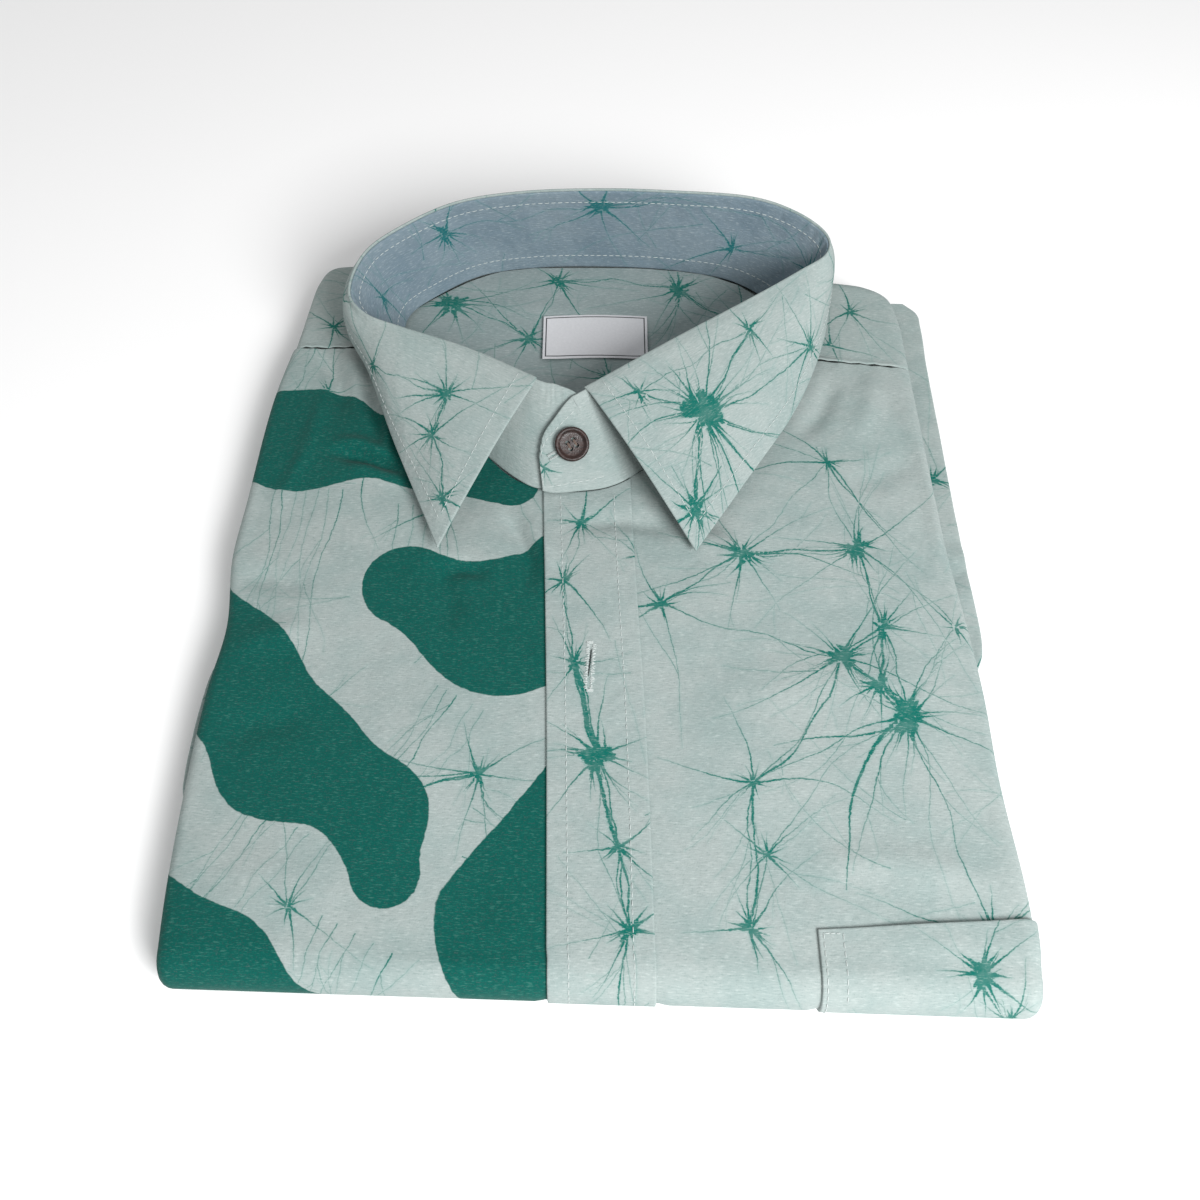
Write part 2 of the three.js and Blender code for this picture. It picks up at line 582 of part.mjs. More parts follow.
/** A point of the leaf: t is 0 along the fold and 1 on the free edge. */
function leafPoint(at, t) {
  const row = rowAt(COLLAR, at);
  const fold = new THREE.Vector3(row.fx, row.fy, row.fz);
  const edge = new THREE.Vector3(row.ex, row.ey, row.ez);
  const foot = new THREE.Vector3(row.bx, row.by, row.bz);
  const away = edge.clone().sub(foot).setZ(0).normalize();
  const up = fold.clone().sub(foot).normalize();
  const before = rowAt(COLLAR, Math.max(at - 0.25, 0));
  const after = rowAt(COLLAR, Math.min(at + 0.25, COLLAR.length - 1));
  const round = new THREE.Vector3(after.fx - before.fx, after.fy - before.fy, after.fz - before.fz);
  const outward = round.cross(up).normalize();
  if (outward.dot(away) < 0) outward.negate();
  const roll = fold.clone().addScaledVector(outward, LEAF_ROLL).addScaledVector(up, -LEAF_ROLL);
  if (t < LEAF_START) return fold.lerp(roll, t / LEAF_START);
  const k = (t - LEAF_START) / (1 - LEAF_START);
  const crown = LEAF_CROWN * Math.sin(Math.PI * k) * (1 - 0.4 * k);
  const lift = new THREE.Vector3(away.x * 0.5, away.y * 0.5, 0.86);
  return roll.lerp(edge, k).addScaledVector(lift, crown);
}

function collarLeaf() {
  const rows = (COLLAR.length - 1) * 2 + 1;
  const stations = [0, LEAF_START, 0.25, 0.45, 0.65, 0.85, 1];
  return thickened(rows, stations.length, (i, j) => leafPoint(i / 2, stations[j]), STAND_WALL);
}

function foldedBody() {
  // Hidden layers inside the fronts, carried over the top, round the bottom fold and along the underside
  const stations = 17;
  const across = [-1, -0.5, 0, 0.5, 1];
  const positions = [];
  const faces = [];
  let ring = 0;
  for (let i = 0; i < stations; i++) {
    const s = rowSOfBody(i, stations);
    const depth = LIFT + LIFT * smooth(s, 0, HALF_TURN) + 0.2;
    const points = [];
    for (const side of [-1, 1]) {
      const turn = [];
      for (let k = 0; k <= SIDE_STEPS; k++) {
        const point = roundSide(side, (k / SIDE_STEPS) * SIDE_TURN, s, depth);
        turn.push(point.setX(point.x - side * BODY_INSET));
      }
      if (side < 0) turn.reverse();
      if (side > 0) {
        for (const t of across.slice(1, -1)) points.push(inStack(t * (sideX(1, s) - SIDE_RADIUS), s, depth));
      }
      points.push(...turn);
    }
    ring = points.length;
    positions.push(...points);
  }
  for (let i = 0; i < stations - 1; i++) {
    for (let k = 0; k < ring; k++) {
      const next = (k + 1) % ring;
      const [a, b] = [i * ring + k, i * ring + next];
      faces.push([a, b, b + ring], [a, b + ring, a + ring]);
    }
  }
  const lastRing = (stations - 1) * ring;
  for (let k = 1; k < ring - 1; k++) {
    faces.push([0, k + 1, k], [lastRing, lastRing + k, lastRing + k + 1]);
  }
  let body = toManifold(solid(positions, faces));
  const add = (low, high) => { body = body.add(toManifold(boxBetween(low, high))); };
  add([-CORE_HALF, foldY(-CORE_HALF) + TURN + 1, CORE_LOW], [CORE_HALF, CORE_END, CORE_HIGH]);
  for (const { low, high, end, half } of TAIL_LAYERS) add([-half, CORE_END - 20, low], [half, end, high]);
  const neck = new THREE.Shape(neckOutline(() => WELL_CLEAR));
  const well = new THREE.ExtrudeGeometry(neck, { depth: STACK_HEIGHT, bevelEnabled: false });
  well.translate(0, 0, FLOOR - FLOOR_SINK - CLOTH - GAP);
  body = body.subtract(toManifold(well));
  return fromManifold(body);
}

function rowSOfBody(i, stations) {
  const round = 6;
  const under = 4;
  const above = stations - 1 - round - under;
  if (i <= above) return lerp(foldY(0) + TURN - BODY_TOP_END, 0, i / above);
  if (i <= above + round) return (HALF_TURN * (i - above)) / round;
  return lerp(HALF_TURN, HALF_TURN + UNDER_LENGTH - 2, (i - above - round) / under);
}

function label() {
  const { x, y, width, depth } = LABEL;
  const [rows, columns] = [4, 6];
  return wall(rows, columns, (i, j, face) => {
    const px = x + (j / (columns - 1) - 0.5) * width;
    const py = y + (i / (rows - 1) - 0.5) * depth + 1.2 * Math.cos((px - x) / 16);
    return new THREE.Vector3(px, py, floorZ(px, py) + GAP + (face ? 0 : 1));
  });
}

/** Where the button sits on the tab, and the way it faces. */
function buttonSeat() {
  const last = standRows().length - 1;
  let at = last - STAND_TAB.length;
  while (at < last && standPoint(at, BUTTON.up).x > BUTTON.x) at += 0.02;
  const sideways = standPoint(at + 0.2, BUTTON.up).sub(standPoint(at - 0.2, BUTTON.up));
  const upward = standPoint(at, BUTTON.up + 0.1).sub(standPoint(at, BUTTON.up - 0.1));
  const normal = sideways.cross(upward).normalize();
  if (normal.z < 0) normal.negate();
  return { place: standPoint(at, BUTTON.up), normal };
}

function button() {
  const { radius, thickness, hole, holeRing, sides } = BUTTON;
  const profile = [
    [0, 0], [radius * 0.8, 0], [radius, 0.9], [radius, thickness - 0.4], [radius - 0.5, thickness],
    [radius - 1.5, thickness], [radius - 2.1, thickness - 0.7], [0, thickness - 0.7],
  ].map(([x, y]) => new THREE.Vector2(x, y));
  const disc = new THREE.LatheGeometry(profile, sides).rotateX(Math.PI / 2);
  let made = toManifold(disc);
  for (let k = 0; k < 4; k++) {
    const angle = Math.PI / 4 + (k * Math.PI) / 2;
    const drill = new THREE.CylinderGeometry(hole, hole, 3 * thickness, 10).rotateX(Math.PI / 2);
    drill.translate(holeRing * Math.cos(angle), holeRing * Math.sin(angle), 0);
    made = made.subtract(toManifold(drill));
  }
  return fromManifold(made);
}

// --- The shirt ---

const cotton = new THREE.MeshStandardMaterial({ color: 0xc4d2ca, roughness: 0.9, metalness: 0 });
const dyed = new THREE.MeshStandardMaterial({ color: 0x6fa79a, roughness: 0.9, metalness: 0 });
const inside = new THREE.MeshStandardMaterial({ color: 0x8fa3ad, roughness: 0.9, metalness: 0 });
const tape = new THREE.MeshStandardMaterial({ color: 0xe4e4e6, roughness: 0.7, metalness: 0 });
const shell = new THREE.MeshStandardMaterial({ color: 0x3f2722, roughness: 0.5, metalness: 0 });

const garment = new THREE.Group();
function piece(name, geometry, material) {
  const mesh = new THREE.Mesh(geometry, material);
  mesh.name = name;
  garment.add(mesh);
  return mesh;
}

piece('folded_body', foldedBody(), cotton);
piece('front_right', frontRight(), dyed);
piece('front_left', frontLeft(), cotton);
piece('placket', placket(), cotton);
piece('pocket', pocket(), cotton);
piece('yoke', yoke(), cotton);
piece('yoke_inside', yokeInside(), inside);
piece('sleeve_left', sleeve(LEFT_SLEEVE, 1), dyed);
piece('sleeve_right', sleeve(RIGHT_SLEEVE, -1), cotton);
piece('collar_stand', collarStand(), inside);
piece('collar_leaf', collarLeaf(), cotton);
piece('label', label(), tape);

const seat = buttonSeat();
const neckButton = piece('neck_button', button(), shell);
neckButton.quaternion.setFromUnitVectors(new THREE.Vector3(0, 0, 1), seat.normal);
neckButton.position.copy(seat.place).addScaledVector(seat.normal, STAND_WALL / 2 + GAP);

const box = new THREE.Box3().setFromObject(garment, true);
garment.position.set(-(box.min.x + box.max.x) / 2, -(box.min.y + box.max.y) / 2, -box.min.z);

export default garment;
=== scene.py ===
"""Looks of the folded batik shirt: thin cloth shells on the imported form, with dye, stitches, label and button.
Sizes are in millimetres in the shirt's own plan, where y = 0 is at the bottom fold. They are moved into the
frame, in metres, when a mesh is made."""

import math

import bpy
import numpy as np
from mathutils import Matrix, Vector


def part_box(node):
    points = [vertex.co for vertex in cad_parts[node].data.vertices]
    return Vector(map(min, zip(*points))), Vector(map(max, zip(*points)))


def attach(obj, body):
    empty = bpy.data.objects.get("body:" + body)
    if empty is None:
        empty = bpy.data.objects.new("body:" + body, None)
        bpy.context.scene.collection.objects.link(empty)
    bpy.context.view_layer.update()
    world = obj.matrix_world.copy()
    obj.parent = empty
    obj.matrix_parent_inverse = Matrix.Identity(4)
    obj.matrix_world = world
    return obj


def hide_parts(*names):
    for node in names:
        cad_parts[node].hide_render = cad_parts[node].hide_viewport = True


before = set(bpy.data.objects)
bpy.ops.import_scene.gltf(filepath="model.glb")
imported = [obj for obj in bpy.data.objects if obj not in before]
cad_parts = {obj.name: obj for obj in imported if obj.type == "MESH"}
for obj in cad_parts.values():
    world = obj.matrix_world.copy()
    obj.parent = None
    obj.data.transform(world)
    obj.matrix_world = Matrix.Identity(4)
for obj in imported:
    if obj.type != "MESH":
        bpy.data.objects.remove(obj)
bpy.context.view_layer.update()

# ---------------------------------------------------------------- sizes
LIFT = 1.1  # how far the placket and the pocket lie over the front
GAP = 0.3
TURN = 10.0  # radius of the bottom fold
HALF_TURN = math.pi * TURN
SIDE_RADIUS = 4.0
SIDE_TURN = math.pi * SIDE_RADIUS
FLAP = 34.0  # what is tucked behind a side fold
UNDER_LENGTH = 276.0
STAND_WALL = 1.6
LEAF_RIDE = 2.4
LEAF_ROLL = 2.2
SEAM_LAP = 3.0
POCKET_LEFT = 66.5
POCKET_MOUTH = (20.2, 23.0)
POCKET_UNDER = 92.0
POCKET_GAPE = 1.6  # how far the mouth stands open
SLEEVE_INNER = 100.0
SLEEVE_START = 52.0
FLOOR = 14.4
FLOOR_RISE = 1.8
OFF_FLOOR = 0.32  # how far the stitches below hold the cloth off the floor
SHEET = 0.7  # a panel's own thickness
PAST_SIDE = 140.0  # an x past either side fold
LABEL = {"x": -2.0, "y": 271.0, "width": 44.0, "depth": 24.0}

# Where the shirt's plan lies in the frame: the left sleeve's hidden corner is at a known place
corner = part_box("sleeve_left")[0] * 1000
SHIFT = np.array([corner.x - SLEEVE_INNER, corner.y - SLEEVE_START, 0.0])


def table(columns, *rows):
    return {name: np.array(values, float) for name, values in zip(columns.split(), zip(*rows))}


LEFT_SIDE = table("y x", (0, -134.5), (30, -136.5), (60, -137), (100, -136), (125, -133.5), (155, -136.3),
                  (180, -135), (233, -132), (270, -126.5))
RIGHT_SIDE = table("y x", (0, 131.5), (30, 134), (76, 132.3), (107, 132.6), (135, 131.2), (175, 128.6),
                   (248, 127.5))
NECKLINE = table("x y", (-81, 262), (-72, 246), (-60, 228), (-46, 208), (-34, 195), (-22, 190), (-8, 189),
                 (4, 191), (16, 198), (30, 210), (45, 226), (58, 243), (67, 257))
LEFT_SEAM_END = (-127.3, 264.0)
RIGHT_SEAM_END = (127.5, 252.0)
PLACKET = table("y left right", (0, -16, 17), (100, -18.4, 15.2), (140, -19.8, 13.4), (188, -21.7, 11.8))
YOKE = table(
    "nx ny ox oy",
    (-81, 262, -127.3, 264), (-83.5, 272, -126, 276), (-83, 281, -124.6, 289), (-79, 288, -122.6, 303),
    (-74, 294, -117.5, 312.6), (-67, 300, -105, 314.4), (-58, 306, -84, 314.4), (-45, 312, -54, 319),
    (-28, 314.5, -30, 321.5), (0, 315, 0, 322), (28, 313.5, 30, 320.5), (48, 310, 54, 316.5),
    (61, 304, 76, 309.5), (69, 297, 97, 304.5), (75, 290, 114, 301.5), (77.5, 282, 124, 294.5),
    (76.5, 274, 127, 281), (73, 266, 127.4, 267), (67, 257.3, 127.5, 252.3))
# The collar ring: b is the foot of the stand, f its fold, e the leaf's free edge
COLLAR = table(
    "bx by bz fx fy fz ex ey ez",
    (-27, 191, 20.3, -24, 223.5, 44, -59, 157.5, 23.5), (-45, 207, 20.3, -51, 237, 46, -69, 182, 25),
    (-60, 228, 20.3, -77, 246.5, 47.6, -80, 209, 27), (-75, 251, 20.1, -92, 253.5, 48.3, -91, 238, 30),
    (-82.5, 267, 19.6, -99, 265, 49.2, -102, 261, 30), (-82, 283, 19, -94.5, 284, 51, -104, 286, 24),
    (-71, 296, 18.4, -80, 298, 52.8, -88, 309, 22), (-52, 309, 18.2, -59, 310.5, 54, -64, 324, 16),
    (-28, 314.2, 18, -33, 315.5, 55, -36, 328, 12), (0, 315, 18, 0, 316.3, 55.8, 0, 329, 12),
    (28, 313.2, 18, 29, 315.3, 55.6, 30, 328, 12), (54, 307.5, 18.2, 61, 312.8, 54.9, 66, 323, 16),
    (70, 297, 18.4, 80, 305, 53.8, 84, 314, 21.5), (77.5, 284, 19, 91.5, 294, 52.2, 95, 297, 23.5),
    (75.5, 271, 19.6, 91, 284, 50.8, 94.5, 277, 25.5), (68, 258, 20.3, 79, 275, 49.5, 88, 250, 28),
    (55, 239, 20.3, 60, 262, 48.2, 75, 219.5, 27), (37, 217, 20.3, 27, 240.5, 46.3, 55, 188, 25),
    (14, 197, 20.3, -6, 218.5, 44, 35, 158, 22.7))
STAND_UNDER_END = table("bx by bz fx fy fz", (5, 192.5, 20.3, 3, 208, 32), (-4, 190.5, 20.3, -7, 217, 41.5),
                        (-15, 190, 20.3, -16, 221, 43.8))
STAND_TAB = table("bx by bz fx fy fz", (3, 189.4, 21.3, -12, 215, 42.6), (-9, 187.2, 21.0, -17.7, 209, 39),
                  (-17.5, 186.2, 21.0, -21.8, 204.2, 35.2), (-21.8, 186.6, 21.4, -23.2, 198, 30))
STAND = {name: np.concatenate([STAND_UNDER_END[name], COLLAR[name], STAND_TAB[name]]) for name in STAND_TAB}
LEFT_SLEEVE = table("y x", (52, 129), (72, 134.4), (92, 131), (110, 132), (122, 137), (150, 137.5), (182, 137),
                    (225, 137.1), (262, 137.2), (284, 137.8), (291, 137.2), (297, 132))
RIGHT_SLEEVE = table("y x", (54, -130), (66, -138.6), (84, -140.2), (97, -139.7), (112, -138.4), (126, -134.5),
                     (150, -132), (210, -129), (262, -124), (291, -117))

# Creases of the top layer: from one end to the other, height over the cloth (negative for a trough), half width
CREASES = table(
    "x0 y0 x1 y1 rise half",
    (-106, 208, -76, 196, -1.35, 3.2), (-104, 213, -80, 203, 0.9, 3.0), (-98, 201, -74, 190, 0.8, 3.5),
    (-117, 262, -101, 224, -0.9, 4.5), (-108, 262, -96, 236, 0.6, 3.5), (-97, 245, -86, 212, -0.9, 2.4),
    (-91, 236, -82, 206, 0.7, 2.2), (-36, 178, -24, 143, -0.9, 3.4), (-30, 178, -17, 150, 0.5, 3.0),
    (-62, 158, -52, 128, -0.7, 5.0), (-58, 153, -40, 150, -0.8, 3.0), (-133, 150, -104, 143, -0.6, 5.0),
    (-131, 118, -100, 128, 0.6, 6.0), (-128, 86, -96, 92, -0.5, 6.0), (24, 180, 48, 166, -0.8, 3.5),
    (-14, 172, 34, 169, -0.7, 4.2), (26, 172, 60, 150, 0.4, 5.0), (95, 246, 78, 214, -0.7, 4.0),
    (112, 250, 100, 214, 0.5, 5.0), (122, 206, 96, 190, -0.4, 6.0), (30, 96, 118, 104, 0.35, 9.0),
    (60, 40, 126, 34, 0.5, 6.0), (22, 60, 58, 28, -0.3, 7.0), (-60, 52, -30, 20, -0.4, 8.0),
    (-120, 40, -80, 26, 0.4, 8.0), (118, 240, 124, 150, 0.5, 3.0), (-112, 244, -124, 180, 0.5, 3.0))
CREASE_GAIN = 2.75
UNEVEN = 1.25  # gain of the slow unevenness


def smooth(value, start, end):
    t = np.clip((np.asarray(value, float) - start) / (end - start), 0, 1)
    return t * t * (3 - 2 * t)


def along(columns, key, at, name):
    """The named column at `at`, on a smooth curve through the table's rows."""
    xs, ys = columns[key], columns[name]
    slopes = np.diff(ys) / np.diff(xs)
    slope = np.concatenate([slopes[:1], (slopes[:-1] + slopes[1:]) / 2, slopes[-1:]])
    i = np.clip(np.searchsorted(xs, at, side="right") - 1, 0, len(xs) - 2)
    span = xs[i + 1] - xs[i]
    t = np.clip((at - xs[i]) / span, 0, 1)
    return ((2 * t**3 - 3 * t**2 + 1) * ys[i] + (t**3 - 2 * t**2 + t) * span * slope[i]
            + (3 * t**2 - 2 * t**3) * ys[i + 1] + (t**3 - t**2) * span * slope[i + 1])


def row_at(columns, at, names):
    """The named columns side by side, at a fractional row of the table."""
    numbered = dict(columns, row=np.arange(len(next(iter(columns.values()))), dtype=float))
    return np.stack([along(numbered, "row", np.asarray(at, float), name) for name in names.split()], -1)


def unit(vectors):
    return vectors / np.maximum(np.linalg.norm(vectors, axis=-1, keepdims=True), 1e-9)


# ---------------------------------------------------------------- the folded form
def fold_y(x):
    return 0.7 - 0.033 * np.asarray(x, float)


def fullness(x, y):
    shoulder = 0.16 * smooth(y, 235, 312)
    side = 0.1 * smooth(np.abs(x), 85, 135) * smooth(y, 12, 60)
    return 1 - shoulder - side


def relief(x, y):
    """How far the top layer rises or sinks at a place, in creases and a slow unevenness."""
    total = 0.42 * np.sin(x / 19 + 1.3 * np.sin(y / 33)) * np.sin(y / 26 + 0.7)
    total = UNEVEN * (total + 0.2 * np.sin(x / 11 + y / 16 + 2.0) * np.sin(y / 13.5 - x / 40))
    for x0, y0, x1, y1, rise, half in zip(*CREASES.values()):
        run = np.array([x1 - x0, y1 - y0])
        length = np.hypot(*run)
        t = ((x - x0) * run[0] + (y - y0) * run[1]) / length**2
        bow = 0.06 * length * np.sin(math.pi * np.clip(t, 0, 1))
        off = ((x - x0) * -run[1] + (y - y0) * run[0]) / length - bow
        ends = smooth(t, -0.1, 0.35) * (1 - smooth(t, 0.65, 1.1))
        total = total + CREASE_GAIN * rise * ends * np.exp(-((off / half) ** 2))
    return total * smooth(y, 2, 16) * (1 - smooth(y, 296, 310)) * (1 - smooth(np.abs(x), 128, 135))


def s_at(x, y):
    """How far past the start of the bottom fold a place on top lies: negative there."""
    return fold_y(x) + TURN - y


def in_stack(x, s, depth):
    """A point of the folded stack: x across, s down the shirt past the start of the bottom fold, depth inwards."""
    x, s, depth = np.broadcast_arrays(np.asarray(x, float), np.asarray(s, float), np.asarray(depth, float))
    start = fold_y(x) + TURN
    radius = TURN - depth
    above, turning = s <= 0, s < HALF_TURN
    z_top = TURN + radius * fullness(x, start - s) + relief(x, start - s) * np.clip(radius / TURN, 0, 1)
    angle = np.clip(s / TURN, 0, math.pi)
    y = np.where(above, start - s, np.where(turning, start - radius * np.sin(angle), start + s - HALF_TURN))
    z = np.where(above, z_top, np.where(turning, TURN + radius * np.cos(angle), depth))
    return np.stack([x, y, z + OFF_FLOOR * smooth(s, 0, HALF_TURN)], -1)


def y_of(s, x=0.0):
    return fold_y(x) + TURN + np.where(s < 0, -s, np.maximum(0, s - HALF_TURN))


def side_x(side, s):
    edge = LEFT_SIDE if side < 0 else RIGHT_SIDE
    return along(edge, "y", np.minimum(y_of(s), edge["y"][-1]), "x")


def round_side(side, over, s, depth):
    """A point of the cloth that goes round a side fold; over is how far past the start of that fold."""
    centre = side_x(side, s) - side * SIDE_RADIUS
    radius = SIDE_RADIUS - depth
    angle = np.clip(over / SIDE_RADIUS, 0, math.pi)
    x = np.where(over <= 0, centre + side * over,
                 np.where(over < SIDE_TURN, centre + side * radius * np.sin(angle),
                          centre - side * (over - SIDE_TURN)))
    return in_stack(x, s, np.where(over <= 0, depth, SIDE_RADIUS - radius * np.cos(angle)))


def on_panel(side, x, over, s, depth):
    """A point of a panel that lies in the stack, and goes round its side fold where over is positive."""
    return np.where((over > 0)[..., None], round_side(side, np.broadcast_to(over, s.shape), s, depth),
                    in_stack(x, s, depth))


def placket_edge(name, s):
    return along(PLACKET, "y", np.where(s < 0, np.minimum(y_of(s), 188), 0.0), name)


def sunk(x, s, side):
    """The fronts sink below the placket and the pocket, which lie flush on the underside."""
    left, right = placket_edge("left", s), placket_edge("right", s)
    placket = smooth(x - left, -4, -0.4) * (1 - smooth(x - right, 0.4, 4))
    last = HALF_TURN + POCKET_UNDER
    pocket = (side > 0) * smooth(x - POCKET_LEFT, -4, -0.4) * (1 - smooth(s - last, 0.4, 5))
    return LIFT * smooth(s, 0, HALF_TURN) * np.maximum(placket, pocket)


def top_edge(x):
    """y of a front's top edge: the neckline, and outside it the yoke seam."""
    def seam(end, neck):
        return neck[1] + (end[1] - neck[1]) * np.clip((x - neck[0]) / (end[0] - neck[0]), 0, 1)

    x = np.asarray(x, float)
    first, last = ((NECKLINE["x"][n], NECKLINE["y"][n]) for n in (0, -1))
    neck = along(NECKLINE, "x", np.clip(x, first[0], last[0]), "y")
    y = np.where(x < first[0], seam(LEFT_SEAM_END, first), np.where(x > last[0], seam(RIGHT_SEAM_END, last), neck))
    return y - 0.12


def floor_z(x, y):
    return FLOOR + FLOOR_RISE * smooth(y, 235, 312) - 0.6 * smooth(np.abs(x), 30, 90)


def stand_point(at, t):
    """A point midway in the stand's wall: t is 0 at its foot and 1 at its top edge."""
    row = row_at(STAND, at, "bx by bz fx fy fz")
    foot, fold = row[..., :3] + (0, 0, STAND_WALL / 2), row[..., 3:]
    reach = np.linalg.norm(fold - foot, axis=-1, keepdims=True)
    return foot + (fold - foot) * (reach - LEAF_RIDE) / reach * np.asarray(t, float)[..., None]


LEAF_START = 0.08  # share of the leaf's depth that rolls over the stand
LEAF_CROWN = 3.2
COLLAR_LAST, STAND_LAST = len(COLLAR["bx"]) - 1, len(STAND["bx"]) - 1


def leaf_point(at, t):
    """A point midway in the leaf's wall: t is 0 on the fold and 1 on the free edge."""
    at, t = np.broadcast_arrays(np.asarray(at, float), np.asarray(t, float))
    foot, fold, edge = np.split(row_at(COLLAR, at, "bx by bz fx fy fz ex ey ez"), 3, axis=-1)
    away = unit((edge - foot) * (1, 1, 0))
    up = unit(fold - foot)
    step = (row_at(COLLAR, np.minimum(at + 0.25, COLLAR_LAST), "fx fy fz")
            - row_at(COLLAR, np.maximum(at - 0.25, 0), "fx fy fz"))
    outward = unit(np.cross(step, up))
    outward *= np.sign((outward * away).sum(-1, keepdims=True))
    t = t[..., None]
    # the first stretch is the roll over the stand: a quarter turn
    angle = np.clip(t / LEAF_START, 0, 1) * (math.pi / 2)
    turned = 1 - np.cos(angle)
    rolled = fold + LEAF_ROLL * (outward * turned - up * 0.5 * (turned + np.sin(angle) ** 2))
    k = np.clip((t - LEAF_START) / (1 - LEAF_START), 0, 1)
    roll_end = fold + LEAF_ROLL * (outward - up)
    crown = LEAF_CROWN * np.sin(math.pi * k) * (1 - 0.4 * k)
    body = roll_end + (edge - roll_end) * k + (away * (0.5, 0.5, 0) + (0, 0, 0.86)) * crown
    return np.where(t < LEAF_START, rolled, body)


# ---------------------------------------------------------------- dye: veins and pools
def grow_veins(stars, links, seed, field, combs=()):
    """Crackle of a dyed cloth. stars: x, y, size, rays, reach. links: pairs of stars joined by strands, and
    how thick. field: x0, y0, x1, y1 and a number of lone cracks. combs: bundles of fine strands from one
    short line to another. Returns rows of x0 y0 w0 x1 y1 w1."""
    rng = np.random.default_rng(seed)
    strokes = []

    def walk(x, y, heading, length, width, root, forks, fade=2.4):
        step = rng.uniform(2.4, 3.6)
        count = max(2, int(length / step))
        turn, travelled = rng.normal(0, 0.035), 0.0
        thick = width + root
        for i in range(count):
            heading += turn + rng.normal(0, 0.06)
            turn = turn * 0.92 + rng.normal(0, 0.012)
            nx, ny = x + step * math.cos(heading), y + step * math.sin(heading)
            travelled += step
            thin = width * (1 - 0.8 * (i + 1) / count) + root * math.exp(-travelled / fade)
            strokes.append((x, y, thick, nx, ny, thin))
            x, y, thick = nx, ny, thin
            if forks and rng.random() < 0.07:
                bend = rng.choice([-1, 1]) * rng.uniform(0.2, 0.6)
                rest = (count - i) * step
                walk(x, y, heading + bend, rest * rng.uniform(0.4, 0.9), thin * 0.7, 0, forks - 1)

    def strand(a, b, width, bow):
        (x0, y0), (x1, y1) = a, b
        length = math.hypot(x1 - x0, y1 - y0)
        count = max(4, int(length / 3.2))
        phase, waves = rng.uniform(0, 6.3), rng.uniform(0.8, 1.9)
        across = np.array([-(y1 - y0), x1 - x0]) / length
        wander = np.cumsum(rng.normal(0, 0.22, count + 1))
        wander -= np.linspace(wander[0], wander[-1], count + 1)
        previous = None
        for i in range(count + 1):
            t = i / count
            arch = math.sin(math.pi * t)
            off = bow * arch + 0.025 * length * arch * math.sin(waves * 6.3 * t + phase) + wander[i]
            x, y = x0 + (x1 - x0) * t + across[0] * off, y0 + (y1 - y0) * t + across[1] * off
            thick = width * (0.6 + 0.4 * abs(2 * t - 1)) * rng.uniform(0.85, 1.15)
            if previous:
                strokes.append((*previous, x, y, thick))
            if previous and rng.random() < 0.07:
                walk(x, y, math.atan2(y1 - y0, x1 - x0) + rng.choice([-1, 1]) * rng.uniform(0.2, 0.7),
                     rng.uniform(8, 34), 0.24, 0, 1)
            previous = (x, y, thick)

    for x, y, size, rays, reach in stars:
        first, lean = rng.uniform(0, 6.3), rng.uniform(0, 3.1)
        for k in range(int(rays)):  # short spikes, more of them along the blot than across it
            heading = lean + rng.choice([0, math.pi]) + rng.normal(0, 0.75)
            away = rng.uniform(0.2, 1.1) * size
            walk(x + away * math.cos(heading), y + away * math.sin(heading), heading + rng.normal(0, 0.4),
                 size * rng.uniform(1.0, 4.2) + 2.5, rng.uniform(0.18, 0.48), size * rng.uniform(0.2, 0.6), 0)
        for k in range(int(rays * 0.6)):  # long strands
            heading = first + 6.283 * (k + rng.uniform(-0.4, 0.4)) / int(rays * 0.6)
            walk(x, y, heading, reach * rng.uniform(0.4, 1.3), rng.uniform(0.28, 0.68),
                 size * rng.uniform(0.3, 0.7), 2, 3.2)
        along_blot = size * 1.3 * np.array([math.cos(lean), math.sin(lean)])
        strokes.append((x - along_blot[0], y - along_blot[1], size * 0.25, x, y, size * 0.8))
        strokes.append((x, y, size * 0.8, x + along_blot[0], y + along_blot[1], size * 0.2))
        for k in range(int(4 + size * 3)):  # the blot
            heading, away = lean + rng.normal(0, 0.8) + rng.choice([0, math.pi]), rng.uniform(0, 1.0) * size
            cx, cy = x + away * math.cos(heading), y + away * math.sin(heading)
            strokes.append((cx, cy, size * rng.uniform(0.3, 0.75), cx + rng.normal(0, size * 0.35),
                            cy + rng.normal(0, size * 0.35), size * rng.uniform(0.1, 0.4)))
    for i, j, width in links:
        a, b = stars[int(i)][:2], stars[int(j)][:2]
        for k in range(1 if width < 0.7 else 2 if width < 1.5 else 3):
            strand(a, b, width * (0.8, 0.42, 0.3)[k], rng.normal(0, 0.045) * math.dist(a, b))
    for x0, y0, x1, y1, across, count in combs:
        for k in range(count):
            share = (k + rng.uniform(-0.3, 0.3)) / max(count - 1, 1) - 0.5
            run = np.array([x1 - x0, y1 - y0])
            side = np.array([-run[1], run[0]]) / np.linalg.norm(run) * across * share
            strand((x0 + side[0], y0 + side[1]), (x1 + side[0] * 0.8, y1 + side[1] * 0.8),
                   rng.uniform(0.2, 0.45), rng.normal(0, 1.0))
    x0, y0, x1, y1, lone = field
    for k in range(int(lone)):
        walk(rng.uniform(x0, x1), rng.uniform(y0, y1), rng.uniform(0, 6.3), rng.uniform(20, 80),
             rng.uniform(0.16, 0.3), 0, 1)
    return np.array(strokes)


NEAREST = 4  # veins kept for each face of a mesh
FAR_AWAY = (1e4, 1e4, 0.0)


